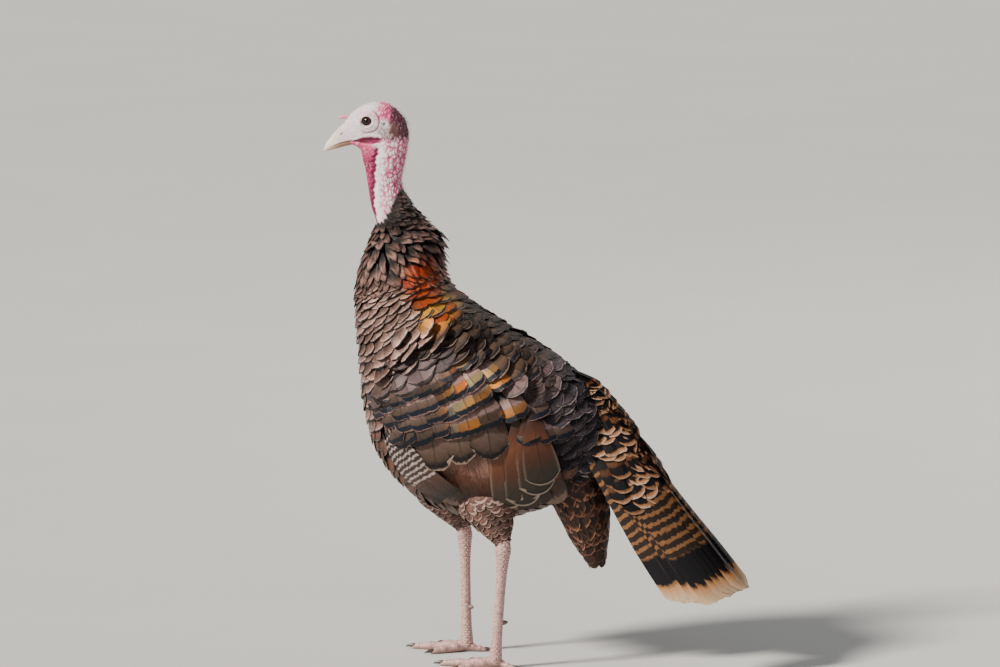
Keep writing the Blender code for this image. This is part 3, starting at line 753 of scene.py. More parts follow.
def set_stage():
    """A long lens a little behind the bird's left side, a pale floor and soft studio light."""
    right = np.array([math.cos(CAMERA_TURN), math.sin(CAMERA_TURN), 0.0])
    level, raised = math.cos(CAMERA_LIFT), math.sin(CAMERA_LIFT)
    back = np.array([right[1] * level, -right[0] * level, raised])
    aim = right * CAMERA_AIM[0] + np.cross(back, right) * CAMERA_AIM[1]
    lens = bpy.data.cameras.new("camera")
    lens.sensor_width = SENSOR
    lens.lens = SENSOR * CAMERA_AWAY / VIEW_WIDTH
    lens.clip_end = 200.0
    camera = bpy.data.objects.new("camera", lens)
    camera.location = aim + back * CAMERA_AWAY
    camera.rotation_euler = (math.pi / 2 - CAMERA_LIFT, 0.0, CAMERA_TURN)
    bpy.context.collection.objects.link(camera)
    bpy.context.scene.camera = camera

    corners = [(x * FLOOR_HALF, y * FLOOR_HALF, 0) for x, y in ((-1, -1), (1, -1), (1, 1), (-1, 1))]
    sheet = bpy.data.meshes.new("floor")
    sheet.from_pydata(corners, [], [(0, 1, 2, 3)])
    f = Finish("pale floor")
    pale = f.mix(f.noise(3.0, 3.0), (0.53, 0.52, 0.505), (0.57, 0.56, 0.545))
    sheet.materials.append(f.close(pale, 0.85))
    floor = bpy.data.objects.new("floor", sheet)
    bpy.context.collection.objects.link(floor)

    key = bpy.data.lights.new("key", "SUN")
    key.energy, key.angle, key.color = 7.0, math.radians(11.0), (1.0, 0.95, 0.87)
    put_lamp(key, (-2.9, -2.6, 3.4))
    for name, place, size, power, tint in SOFT_LAMPS:
        light = bpy.data.lights.new(name, "AREA")
        light.energy, light.size, light.color = power, size, tint
        put_lamp(light, place)
    world = bpy.data.worlds.new("studio")
    world.use_nodes = True
    sky = world.node_tree.nodes["Background"]
    sky.inputs[0].default_value = (0.86, 0.89, 0.95, 1.0)
    sky.inputs[1].default_value = 0.24
    bpy.context.scene.world = world


set_stage()


# ---------------- skin of head and neck

EYE = (-211.0, 10.3, 692.0)
EYE_RADIUS = 7.0
LID_OPENING = (6.3, 5.35)             # half-length and half-height of the opening between the lids
EAR = (-187.5, 688.5)
CHEEK_FOLD = 17.3                    # from the eye to the crease that rounds the cheek
MOUTH_FROM = (-238.0, 665.4)
MOUTH_SLOPE = 0.075
# The furrow down each side of the throat (x, z), from the jaw to the hackles.
FURROW = ((-197.0, 660), (-200.0, 640), (-201.5, 615), (-203.0, 592), (-201.5, 560))
NOSTRIL = (-246.5, 673.0)
DROOP = 0.3                          # of a bristle's tip, as a share of its length
BRISTLE_TRIES, EAR_PLUMES = 2600, 420
EVEN_STEPS = (0.754878, 0.569840)    # strides that scatter the ear's plumes evenly
BRISTLE_BLACK = (0.014, 0.010, 0.012)


def cells(points, size, seed=0.0):
    """Distances, in cells, to the two nearest of points scattered one to a cell of a cubic grid."""
    grid = points / size
    corner = np.floor(grid)
    first = np.full(points.shape[:-1], 9.0)
    second = first.copy()
    for offset in itertools.product((-1.0, 0.0, 1.0), repeat=3):
        cell = corner + offset
        x, y, z = np.moveaxis(cell, -1, 0)
        chance = np.stack([hashed(x + k * 7.7, y, z, seed) for k in range(3)], axis=-1)
        away = np.linalg.norm(cell + chance - grid, axis=-1)
        second = np.minimum(second, np.maximum(first, away))
        first = np.minimum(first, away)
    return first, second


def cobbles(points, size, seed=0.0):
    """Rounded warts, nought in the clefts between them and one on their crowns."""
    first, second = cells(points, size, seed)
    return np.clip((second - first) * 1.6, 0, 1) ** 0.6 * np.clip(1.15 - first * 0.5, 0, 1)


def mouth_line(x):
    """Height of the line from the gape back along the jaw."""
    return MOUTH_FROM[1] + (x - MOUTH_FROM[0]) * MOUTH_SLOPE


def hackle_reach(s, turn):
    """How far below the hackles' upper edge a place is; the edge runs higher on the nape than in front."""
    return s + 0.82 * np.clip(np.cos(turn), -0.3, 1) - PLACE["hackle edge"]


def head_relief(points, s, turn):
    """Height of the skin's relief along its normal in mm, and the shares of its marks and painted shade.

    Each form is a bump or a groove about a point, an arc or a line of the side view, the same on
    both sides, and warts and wrinkles come from scattered cells.
    """
    x, y, z = np.moveaxis(points, -1, 0)
    from_eye = np.hypot(x - EYE[0], (z - EYE[2]) * 1.14)
    angle = np.degrees(np.arctan2(z - EYE[2], x - EYE[0]))
    flank = smoothstep(3.0, 9.0, np.abs(y))
    top = np.clip(np.cos(turn), 0, 1)

    # About the eye and the ear, and along the jaw.
    brow = bell(x, EYE[0] + 1, 13) * bell(z, EYE[2] + 9.0, 3.2) * flank
    socket = smoothstep(7.6, 6.6, from_eye) * flank
    ring = bell(from_eye, 9.2, 1.5) * flank
    rings = np.sin(from_eye * FULL_TURN / 1.5 + ripple(points, 9.0)) * smoothstep(12, 8.5, from_eye) * flank
    behind = smoothstep(75, 45, angle) * smoothstep(-125, -95, angle)
    fold = bell(from_eye + 1.2 * ripple(points, 14.0, 2.0), CHEEK_FOLD, 0.9) * behind * flank
    cheek = smoothstep(CHEEK_FOLD, 12.0, from_eye) * smoothstep(-10, -30, angle) * flank
    ear = np.hypot(x - EAR[0], z - EAR[1])
    jaw = z - mouth_line(x)
    ragged = 1.6 * ripple(points, 7.0, 6.0)
    band_half = 0.6 + 3.4 * smoothstep(-229, -214, x) - 1.6 * smoothstep(-206, -190, x) + 0.5 * ragged
    band = smoothstep(-243, -239, x) * smoothstep(-184, -198, x + 2 * ragged) * flank
    groove = smoothstep(band_half + 1.0, band_half - 0.5, np.abs(jaw + 1.0)) * band
    lip = bell(jaw, band_half + 1.4, 1.3) * smoothstep(-236, -226, x) * band

    # Down the throat: the furrow, the grainy skin before it and the smooth strip behind it.
    furrow_x = np.interp(z, [row[1] for row in FURROW[::-1]], [row[0] for row in FURROW[::-1]])
    furrow_x = furrow_x + 1.1 * np.sin(z * 0.33) + 0.8 * np.sin(z * 0.9 + 1.0)
    below_jaw = smoothstep(662, 655, z)
    furrow = bell(x, furrow_x - 0.6, 2.3) * below_jaw * flank
    throat = smoothstep(furrow_x + 1.0, furrow_x - 2.0, x) * below_jaw
    strip = smoothstep(furrow_x + 1.0, furrow_x + 3.0, x) * smoothstep(furrow_x + 14.0, furrow_x + 7.5, x)
    strip = strip * below_jaw

    # Warts on the crown, the nape and the sides of the neck.
    rear_crown = smoothstep(-203, -190, x) * smoothstep(688, 700, z)
    nape = smoothstep(0.45, 0.8, top) * smoothstep(-195, -180, x)
    neck_side = smoothstep(furrow_x + 7.0, furrow_x + 13.0, x) * smoothstep(680, 662, z)
    warty = np.clip(rear_crown * 0.75 + nape + neck_side * 0.85, 0, 1)
    stones = cobbles(points * [1, 1, 0.62], 4.2, 3.0)
    pebbles = cobbles(points, 2.3, 8.0)
    grains = cobbles(points * [1, 1, 0.8], 1.9, 5.0)
    long_folds = np.sin(turn * 17 + 2.2 * ripple(points, 26.0, 4.0))
    stony = smoothstep(0.2, 0.8, ripple(points, 30.0) + 0.5)
    plain = np.clip(1 - warty - throat, 0, 1) * smoothstep(7.0, 9.5, from_eye)

    height = 1.2 * brow - 9.0 * socket + 0.75 * ring + 0.16 * rings - 1.1 * fold + 0.7 * cheek
    height += 0.25 * bell(ear, 4.0, 1.6) - 1.3 * smoothstep(2.6, 1.2, ear) - 2.6 * groove + 0.9 * lip
    height += 0.9 * throat * (grains - 0.4) - 1.6 * furrow
    height += strip * (0.45 * long_folds + 0.5 * (stones - 0.5) * stony)
    height += warty * ((1.7 * stones - 0.7) * (1 - smoothstep(8, 5, ear)) + 0.35 * pebbles)
    height += plain * (0.22 * ripple(points, 5.0) + 0.16 * ripple(points, 2.4, 3.0) + 0.20 * (pebbles - 0.5))
    height *= smoothstep(10.3, 9.4, s) * smoothstep(0.0, 0.35, s)

    hind = 0.88 + 0.2 * smoothstep(0.7, 0.2, stones)
    marks = {
        # crimson of the throat's furrow and grainy skin; in the jaw's groove it is deepened as painted shade
        "crimson": (0.85 * groove + 1.2 * furrow
                    + throat * (0.22 + 0.78 * smoothstep(0.80, 0.30, grains)) * smoothstep(668, 640, z)
                    + 0.7 * neck_side * smoothstep(0.16, 0.04, stones) * bell(x, -172, 9)),
        "pink": (throat + groove + 0.9 * smoothstep(0.0, -2.0, jaw) * smoothstep(-200, -214, x)
                 + 0.8 * rear_crown * (0.35 + 0.65 * stones) + 0.35 * nape + 0.35 * fold
                 + 0.95 * warty * smoothstep(0.55, 0.12, stones) + 0.3 * brow),
        "pale": strip + 0.25 * neck_side,
        # painted shade in the cheek fold, the ear opening, the clefts between warts, the eye socket and the
        # jaw's groove
        "painted_crease_shade": (0.9 * fold + 0.6 * smoothstep(2.8, 1.4, ear) + warty * smoothstep(0.30, 0.02, stones)
                  + 0.8 * socket + groove * smoothstep(-222, -231, x) + 0.12 * groove),
        # dark maroon over the hind crown and the nape: partly the skin's dark bristly patch, partly painted
        # shade
        "dark_nape_and_shade": (1.15 * smoothstep(720, 706, z + 4 * ragged) * smoothstep(664, 676, z + 4 * ragged)
                 * smoothstep(-185, -176, x + 2 * ragged) * hind
                 + 0.6 * smoothstep(9.1, 9.9, s) * smoothstep(0.2, 0.7, top)),
    }
    marks = {label: np.clip(share, 0, 1) * smoothstep(10.5, 10.2, s) for label, share in marks.items()}
    marks["down"] = smoothstep(0.02, 0.16, hackle_reach(s, turn) + 0.06 * ripple(points, 3.0, 9.0))
    return height, marks


def skin_finish():
    """Bare skin, bluish white and pink, crimson in its furrows, and dark down under the coat."""
    f = Finish("skin")
    mottle = f.noise(420.0, 3.0)
    veins = f.noise(160.0, 4.0, rough=0.65)
    colour = f.mix(f.range(mottle, 0.35, 0.65), (0.62, 0.50, 0.56), (0.80, 0.70, 0.73))
    colour = f.mix(f.times(f.range(veins, 0.52, 0.66), 0.35), colour, (0.62, 0.27, 0.36))
    colour = f.mix(f.number("pale"), colour, f.mix(mottle, (0.76, 0.66, 0.70), (0.92, 0.86, 0.87)))
    patchy = f.times(f.number("pink"), f.range(veins, 0.30, 0.62))
    rosy = f.math("ADD", patchy, f.times(f.number("pink"), 0.48), clamp=True)
    colour = f.mix(rosy, colour, (0.76, 0.085, 0.235))
    # dark maroon of the nape: partly its own colour, partly painted shade
    colour = f.mix(f.times(f.number("dark_nape_and_shade"), 0.93), colour, (0.060, 0.016, 0.024))
    # dark crimson skin, which in the jaw's groove also stands for painted shade
    colour = f.mix(f.number("crimson"), colour, f.mix(mottle, (0.10, 0.0, 0.018), (0.22, 0.003, 0.055)))
    # painted shade in creases and hollows
    colour = f.mix(f.times(f.number("painted_crease_shade"), 0.75), colour, (0.13, 0.045, 0.075))
    colour = f.mix(f.number("down"), colour, (0.020, 0.013, 0.012))
    fine = f.plus(f.noise(900.0, 3.0), f.times(f.noise(2600.0, 2.0), 0.5))
    rough = f.plus(0.42, f.times(mottle, 0.2))
    return f.close(colour, rough, normal=f.bump(fine, 0.0004, 0.55), specular=0.4)


def make_skin():
    """Head, bare neck and the body under the coat in one surface, on the same rails as the body."""
    rows = np.concatenate([np.linspace(0, 9.8, 330, endpoint=False), np.linspace(9.8, 25, 90)])
    s, turn = grid(rows, circle(196))
    here, _, _, normal = frame_of(body, s, turn)
    height, marks = head_relief(here, s, turn)
    sunk = (coat_depth(s, turn) + 0.3) * smoothstep(9.3, 10.2, s)
    closed_loft("skin", here + normal * (height - sunk)[..., None], skin_finish(), marks, slot="head_skin",
                replaces=("head", "neck_bare"))


# ---------------- eyes, bill and snood


IRIS = ((0.0, (0.002, 0.002, 0.002)), (0.41, (0.003, 0.002, 0.002)), (0.48, (0.030, 0.009, 0.005)),
        (0.74, (0.055, 0.016, 0.008)), (0.90, (0.03, 0.010, 0.006)), (1.0, (0.012, 0.006, 0.005)))
EYELID_OUT = 0.75                    # of the lid's middle line from the ball


def eye_finish():
    """Dark brown iris about a black pupil, under a clear wet cornea."""
    f = Finish("eye")
    away = f.plus(f.number("from_pupil"), f.swing(f.noise(1800.0, 3.0), 0.08))
    return f.close(f.ramp(away, IRIS), 0.05, specular=0.35)


def eyelid_finish():
    """Pale mottled lid, dark along its inner edge."""
    f = Finish("eyelid")
    colour = f.mix(f.noise(700.0, 3.0), (0.50, 0.38, 0.44), (0.78, 0.70, 0.74))
    colour = f.mix(f.range(f.number("across"), 0.55, 0.95), colour, (0.10, 0.055, 0.065))
    return f.close(colour, 0.4, normal=f.bump(f.noise(1500.0, 2.0), 0.0003, 0.6))


def make_eye(label, ball_finish, lid_finish):
    """Eyeball set in its socket, and a lid rolled round it, thicker above.

    The ball is a sphere with a slight swell at the pupil; the lid is a ring of round section whose
    inner edge follows the ball round an oval opening.
    """
    side = SIDES[label]
    polar, turn = grid(np.linspace(0.02, math.pi - 0.02, 40), circle(48))
    cornea = 1 + 0.055 * smoothstep(0.62, 0.0, polar)
    ball = np.stack([EYE[0] + side * EYE_RADIUS * np.sin(polar) * np.cos(turn),
                     side * (EYE[1] + EYE_RADIUS * cornea * np.cos(polar)),
                     EYE[2] + EYE_RADIUS * np.sin(polar) * np.sin(turn)], axis=-1)
    closed_loft(f"eye_{label}_ball", ball, ball_finish, {"from_pupil": np.clip(polar / 1.05, 0, 1)},
                slot="eye", replaces=(f"eye_{label}",))
    around, across = grid(circle(96), circle(14))
    thick = 1.12 + 0.35 * np.clip(np.sin(around), 0, 1) + 0.05 * np.sin(around * 23)
    roll = thick * (1 + np.cos(across))
    rim = np.sqrt((EYE_RADIUS + 0.15) ** 2 - (LID_OPENING[0] * np.cos(around)) ** 2
                  - (LID_OPENING[1] * np.sin(around)) ** 2)
    z = EYE[2] + (LID_OPENING[1] + roll) * np.sin(around) - 0.35 * np.cos(around) ** 2
    lid = np.stack([EYE[0] + side * (LID_OPENING[0] + roll) * np.cos(around),
                    side * (EYE[1] + rim + EYELID_OUT + thick * np.sin(across)), z], axis=-1)
    faces = grid_faces(96, 14, closed=True, ring=True)
    make_piece(f"eye_{label}_lid", lid.reshape(-1, 3), [faces if side < 0 else faces[:, ::-1]], lid_finish,
               numbers={"across": (1 - np.cos(across)) / 2}, slot="head_skin")


# Bill stations: x, culmen, cutting edge, lower edge, half-width.
BILL = ((-271.4, 654.6, 651.9, 650.6, 1.2), (-269.5, 660.0, 652.8, 650.8, 2.5),
        (-265.0, 665.8, 655.4, 651.8, 4.1), (-256.0, 677.0, 659.6, 654.3, 6.3),
        (-247.0, 685.6, 663.2, 657.0, 7.9), (-238.0, 691.2, 665.6, 659.2, 8.9),
        (-232.0, 693.0, 666.2, 660.5, 8.6))
BILL_SECTION = (0.92, 0.85)          # powers that round its section, up and across
LOWER_BILL = 0.84                    # its width as a share of the upper bill's


def bill_finish(name, base, tip, shade):
    """Horn, grained between shade and base, turning to tip along the bill."""
    f = Finish(name)
    along = f.range(f.axes(f.coords())[0], -0.246, -0.268)
    grain = f.noise(500.0, 3.0, stretch=(0.4, 1.0, 1.6))
    colour = f.mix(along, f.mix(grain, shade, base), tip)
    # the nostril's slit is near black: painted shade in its opening
    colour = f.mix(f.number("slit"), colour, (0.02, 0.012, 0.012))
    return f.close(colour, 0.38, normal=f.bump(grain, 0.0003, 0.35), coat=0.1)


def make_bill():
    """Upper bill with a hooked tip and slit nostrils, and the lower bill closed under it."""
    station, turn = grid(np.linspace(0, len(BILL) - 1, 90), circle(72))
    x, top, cut, _, half = np.moveaxis(spline(BILL, station), -1, 0)
    crown = signed_power(np.sin(turn), BILL_SECTION[0])
    overhang = 1.5 * smoothstep(1.6, 0.0, station)
    rise = crown * np.where(crown > 0, top - cut, (0.9 + overhang) * 0.8)
    across = half * signed_power(np.cos(turn), BILL_SECTION[1])
    z = cut - overhang * 0.4 + rise
    ahead, above = x - NOSTRIL[0], z - NOSTRIL[1]
    slit = np.hypot(ahead * 0.85 + above * 0.5, (above * 0.85 - ahead * 0.5) * 3.2)
    # pit also marks where the nostril is painted near black as shade in its opening
    pit = smoothstep(3.4, 1.6, slit) * (np.abs(across) > 2)
    flare = bell(slit, 4.6, 1.6) * (np.abs(across) > 2)
    closed_loft("bill_upper_horn", np.stack([x, across * (1 - 0.22 * pit + 0.05 * flare), z], axis=-1),
                bill_finish("upper bill", (0.74, 0.64, 0.64), (0.80, 0.74, 0.60), (0.58, 0.46, 0.48)),
                {"slit": pit}, slot="horn", replaces=("bill_upper",))
    station, turn = grid(np.linspace(0.35, len(BILL) - 1, 60), circle(72))
    x, _, cut, low, half = np.moveaxis(spline(BILL, station), -1, 0)
    crown = signed_power(np.sin(turn), BILL_SECTION[0])
    across = half * LOWER_BILL * signed_power(np.cos(turn), BILL_SECTION[1])
    z = cut - 0.7 + crown * np.where(crown > 0, 0.5, cut - low)
    closed_loft("bill_lower_horn", np.stack([x, across, z], axis=-1),
                bill_finish("lower bill", (0.40, 0.22, 0.13), (0.62, 0.50, 0.36), (0.30, 0.14, 0.09)),
                {"slit": 0 * x}, slot="horn", replaces=("bill_lower",))


def make_snood():
    """Short wrinkled nub over the bill's root, pointing forward: a tapering tube with a rounded end."""
    t, turn = grid(np.linspace(0, 1, 44), circle(28))
    radius = (3.3 - 1.4 * t) * np.sqrt(np.clip(1 - np.clip((t - 0.82) / 0.18, 0, 1) ** 2, 0.02, 1))
    radius = radius * (1 + 0.10 * np.sin(t * 46) + 0.05 * np.sin(3 * turn + t * 9))
    z = 693.0 + 2.6 * np.sin(t * 2.6) - 1.2 * t ** 2
    nub = np.stack([-234.0 - 18.0 * t, radius * np.sin(turn), z + radius * np.cos(turn)], axis=-1)
    f = Finish("snood")
    colour = f.mix(f.noise(600.0, 3.0), (0.66, 0.12, 0.22), (0.80, 0.42, 0.48))
    closed_loft("snood_nub", nub, f.close(colour, 0.45, normal=f.bump(f.noise(1400.0, 2.0), 0.0004, 0.6)),
                slot="head_skin", replaces=("snood",))


# ---------------- bristles

def bristles(name, roots, ways, lengths, radius, colour):
    """Fine tapering hairs of three sides, each bending down from its root along its way."""
    count, segments = len(roots), 4
    t = np.linspace(0, 1, segments + 1)
    spine = roots[:, None, :] + lengths[:, None, None] * (ways[:, None, :] * t[:, None]
                                                          - WORLD_UP * DROOP * (t ** 2)[:, None])
    side = unit(np.cross(ways, WORLD_UP + 0.1))
    other = np.cross(ways, side)
    taper = radius * (1 - 0.85 * t)
    corners = [spine + taper[:, None] * (side[:, None, :] * math.cos(k) + other[:, None, :] * math.sin(k))
               for k in (0.0, 2.094, 4.189)]
    points = np.stack(corners, axis=2).reshape(count, -1, 3)
    quads = grid_faces(segments + 1, 3, closed=True)
    caps = np.array([(0, 1, 2), (segments * 3 + 2, segments * 3 + 1, segments * 3)])
    shift = np.arange(count)[:, None, None] * points.shape[1]
    f = Finish(name)
    finish = f.close(f.mix(f.noise(300.0), colour, tuple(c * 2.2 for c in colour)))
    make_piece(name, points.reshape(-1, 3), [(quads + shift).reshape(-1, 4), (caps + shift).reshape(-1, 3)],
               finish, slot="head_skin")


def scatter(pick, seeds):
    """A small random step for each of pick, in all three directions."""
    return np.stack([hashed(pick, k) - 0.5 for k in seeds], axis=-1)


def make_bristles():
    """Sparse black bristles on crown, nape and neck, and a rusty tuft of hair-like plumes round the ear."""
    pick = np.arange(BRISTLE_TRIES)
    s, turn = 2.5 + 7.2 * hashed(pick, 1.1), FULL_TURN * hashed(pick, 5.3)
    near_nape = np.clip(np.cos(turn), 0, 1) ** 1.5 * smoothstep(3.4, 4.6, s)
    side = 0.16 * smoothstep(3.0, 5.0, s) * smoothstep(-1.0, -0.2, np.cos(turn))
    stay = hashed(pick, 9.7) < near_nape * 0.55 + side
    pick = pick[stay]
    here, along, _, normal = frame_of(body, s[stay], turn[stay])
    ways = unit(normal * 0.8 + unit(along) * 0.5 + scatter(pick, (3.1, 4.7, 6.3)) * 0.8)
    bristles("bristles_black", here - normal * 0.3, ways, 3.0 + 4.5 * hashed(pick, 2.9), 0.16, BRISTLE_BLACK)
    pick = np.arange(EAR_PLUMES)
    s = 4.55 + 2.0 * (pick * EVEN_STEPS[0] % 1.0)
    for label, side in SIDES.items():
        turn = 1.55 - 0.75 * (pick * EVEN_STEPS[1] % 1.0)
        here, along, _, normal = frame_of(body, s, turn if side > 0 else FULL_TURN - turn)
        away = np.hypot(here[:, 0] - EAR[0], here[:, 2] - EAR[1])
        stay = (away > 4.5) & (away < 17) & (here[:, 2] < EAR[1] + 3)
        ways = unit(normal * 0.3 + unit(along) * 0.9 + np.array([0.35, 0, -0.1]))
        ways = ways + scatter(pick, (3.1 + side, 4.7 + side, 6.3 + side)) * 0.6
        bristles(f"ear_plumes_{label}", (here - normal * 0.2)[stay], ways[stay],
                 (3.0 + 5.0 * hashed(pick, 7.7))[stay], 0.15, (0.16, 0.070, 0.048))


make_skin()
ball_finish, lid_finish = eye_finish(), eyelid_finish()
for label in SIDES:
    make_eye(label, ball_finish, lid_finish)
make_bill()
make_snood()
make_bristles()


# ---------------- body plumage

def on_wing(point, rows, across_from, across_to):
    """Points over the folded wing, between two of its rows and two places across it."""
    row, across = locate(WING_LOWER, WING_UPPER, point[:, 0], point[:, 2])
    return ((row > rows[0]) & (row < rows[1]) & (across > across_from) & (across < across_to)
            & (np.abs(point[:, 1]) > 30))


def wing_keep(s, turn, point):
    """Roots that the folded wing doesn't hide, and that lie ahead of the tail's root."""
    return ~(on_wing(point, (1.25, 9.4), -1.03, 0.84) | (s > PLACE["belly"]) & (turn_to_back(turn) < 0.5))


def over_wing(s, turn, length, rise):
    """Lift of each tip: up onto the wing where the tip reaches over its edge."""
    _, along, _, _ = frame_of(body, s, turn)
    tip = body(s + length / np.linalg.norm(along, axis=-1), turn)
    step_up = np.abs(wing(tip[:, 0], tip[:, 2])[:, 1]) - np.abs(tip[:, 1])
    stepped = np.maximum(rise, np.clip(step_up, 0, 12) + 1.0)
    return np.where(on_wing(tip, (0.05, 9.0), -0.6, 1.0), stepped, rise)


def turn_to_back(turn):
    """Angle from the dorsal line, the same on both sides."""
    return np.minimum(turn, FULL_TURN - turn)


def body_coat(name, s_from, s_to, row_step, gap_across, finish, slot, keep=wing_keep, overlap=2.7,
              broad=1.65, rise=0.0, back_turn=0.0, replaces=(), **shape):
    """One tract of the body: length is the rows' step times overlap, width the gap across times broad."""
    s, turn, step, gap = body_roots(s_from, s_to, row_step, gap_across, keep)
    long = step * at(overlap, s)
    lifted = over_wing(s, turn, long, at(rise, s, turn))
    heading = -at(back_turn, s, turn) * np.sin(turn)
    sink = coat_depth(s, turn) * 0.8
    tract = lay(body, s, turn, heading, long, gap * at(broad, s), sink, lifted, **shape)
    feather_piece(name, [tract], finish, slot, replaces=replaces)


SHOULDER_TINTS = both_sides(((EMBER, (-128, 60, 494)), (GLOW, (-106, 60, 457))), (22, 56, 26),
                            0.9, 0.42, 0.90)
NAPE_NIGHT = both_sides(((NIGHT, (-166, 20, 568)),), (26, 46, 24), 0.8, 0.45, 0.97)
# the pinkish brown band near the tip is painted sheen on the dark hackles
hackle = plume("hackle feathers",
               ((0.0, BLACK), (0.48, DARK), (0.62, (0.045, 0.026, 0.022)), (0.80, (0.17, 0.088, 0.070)),
                (0.93, (0.10, 0.052, 0.043)), (0.975, BLACK), (1.0, DARK)),
               fray=1.0, tints=SHOULDER_TINTS + NAPE_NIGHT, vary=1.0, metal=0.30, rough=0.34)
# the pale pinkish bands just inside the black tip are painted sheen
breast = plume("breast feathers",
               ((0.0, BLACK), (0.45, DARK), (0.70, (0.12, 0.066, 0.053)), (0.86, (0.24, 0.135, 0.108)),
                (0.92, (0.44, 0.28, 0.245)), (0.955, BLACK), (1.0, DARK)),
               fray=0.9, tints=SHOULDER_TINTS, vary=1.0, metal=0.35, rough=0.34)
mantle = plume("mantle feathers",
               ((0.0, BLACK), (0.5, DARK), (0.72, (0.075, 0.042, 0.026)), (0.86, (0.045, 0.026, 0.018)),
                (0.93, BLACK), (0.97, DARK), (1.0, EARTH)),
               fray=0.8, tints=SHOULDER_TINTS, rough=0.45, specular=0.2, vary=0.9, metal=0.2)
# the pinkish grey tint over the rump's side is painted sheen
rump = plume("rump feathers",
             ((0.0, BLACK), (0.5, DARK), (0.72, (0.012, 0.010, 0.014)), (0.90, (0.052, 0.040, 0.046)),
              (0.955, (0.012, 0.010, 0.012)), (0.985, (0.13, 0.10, 0.10)), (1.0, (0.17, 0.13, 0.125))),
             fray=2.6, rough=0.5, specular=0.12, vary=1.0,
             tints=both_sides(((ROSY_SHEEN, (8, 62, 384)),), (46, 50, 34), 0.85, 0.45, 0.95))
flank = plume("flank feathers",
              ((0.0, BLACK), (0.5, UMBER), (0.8, (0.12, 0.050, 0.028)), (0.95, (0.05, 0.025, 0.018)),
               (1.0, EARTH)),
              fray=0.8)


BACK_TURN = 1.25                     # how far round from the dorsal line the mantle and the back reach


def is_back(s, turn, point):
    """Roots of the mantle and the back, clear of the wing."""
    return wing_keep(s, turn, point) & (turn_to_back(turn) < BACK_TURN)


def is_front(s, turn, point):
    """Roots of the breast and the belly, clear of the wing."""
    return wing_keep(s, turn, point) & (turn_to_back(turn) >= BACK_TURN)


def is_hackle(s, turn, point):
    """Roots below the hackles' upper edge, which runs higher on the nape than down the throat."""
    return hackle_reach(s, turn) > -0.08


def nape_rise(s, turn):
    """How far the tips stand off: raised down the nape, close in front."""
    return 0.5 + 6.5 * np.clip(np.cos(turn), 0, 1) ** 1.2 * bell(s, PLACE["raised hackle"] - 0.6, 1.5)


# Distance between rows of hackles in millimetres, growing down the neck from this section.
HACKLES_FROM = 9.7
hackle_step = growing(4.6, HACKLES_FROM, 1.25)


def hackle_gap(s):
    """Spacing of the hackles around the neck: growing down it, and widest in its middle."""
    return growing(5.2, HACKLES_FROM, 1.6)(s) + 7.0 * bell(s, 11.8, 0.8)


def hackle_breadth(s):
    """Width of a hackle as a share of its spacing: least in the middle of the neck."""
    return 1.35 - 0.60 * bell(s, 11.8, 0.9)


def hackle_overlap(s):
    """Length of a hackle in rows: most halfway down the neck."""
    return 3.4 + 2.4 * bell(s, 11.7, 0.9)


def hackle_turn(s, turn):
    """How far the hackles turn towards the nape, in degrees: most on its sides, little on the throat.

    No tip crosses the nape's middle line: the turn is held to what the arc up to it allows.
    """
    from_back = turn_to_back(turn)
    swept = (18.0 + 62.0 * bell(s, 11.2, 1.1)) * (0.25 + 0.75 * smoothstep(2.3, 1.2, from_back))
    arc = from_back * (23.0 + 10.0 * (s - 10.0))
    limit = np.degrees(np.arcsin(np.clip(0.52 * arc / (hackle_step(s) * hackle_overlap(s)), 0.0, 1.0)))
    return np.minimum(swept, limit / np.maximum(np.abs(np.sin(turn)), 0.05))


NECK_ROOT, MID_BACK = PLACE["neck root"], PLACE["mid back"]
body_coat("coat_hackle", PLACE["hackle edge"] - 0.7, NECK_ROOT + 0.4, hackle_step, hackle_gap, hackle,
          "hackle", keep=is_hackle, overlap=hackle_overlap, broad=hackle_breadth, rise=nape_rise,
          back_turn=hackle_turn, replaces=("neck_feathered",), rows=13, cols=7, blunt=1.7, round_tip=0.40,
          fringe=0.05, roll=12.0, camber=0.24, sway=11.0)
body_coat("coat_breast", NECK_ROOT + 0.3, MID_BACK, growing(8.0, NECK_ROOT, 1.1),
          growing(13.0, NECK_ROOT, 1.3), breast, "plumage", keep=is_front, back_turn=14.0, blunt=3.0,
          sway=7.0)
body_coat("coat_mantle", NECK_ROOT + 0.3, MID_BACK, growing(10.5, NECK_ROOT, 1.2),
          growing(15.0, NECK_ROOT, 1.5), mantle, "plumage", keep=is_back, blunt=2.6, sway=7.0)
body_coat("coat_belly", MID_BACK, PLACE["stern"] - 0.3, 12.5, 17.0, flank, "plumage", keep=is_front, sway=8.0)
body_coat("coat_back", MID_BACK, PLACE["rump"], 17.0, 22.0, rump, "plumage", keep=is_back,
          replaces=("trunk",), overlap=3.0, sway=8.0)


# ---------------- wings

def wing_fall(x, z):
    """How far below level the wing feathers point, in degrees: steeper lower down."""
    steep = 57 + (376 - z) * 0.22 + 20 * smoothstep(-50, 15, x) * smoothstep(400, 345, z)
    leading = smoothstep(-95, -150, x) * smoothstep(330, 290, z)
    return np.clip(steep, 44, 91) * (1 - leading) + 52 * leading


ROW_STEP = 2.0                       # millimetres between the points that a row of tips is traced through
ROW_X = -52.0                        # where the height of a row is given
ROOT_SHARE = 0.94                    # of a covert's length, from its tip back to where its root is set


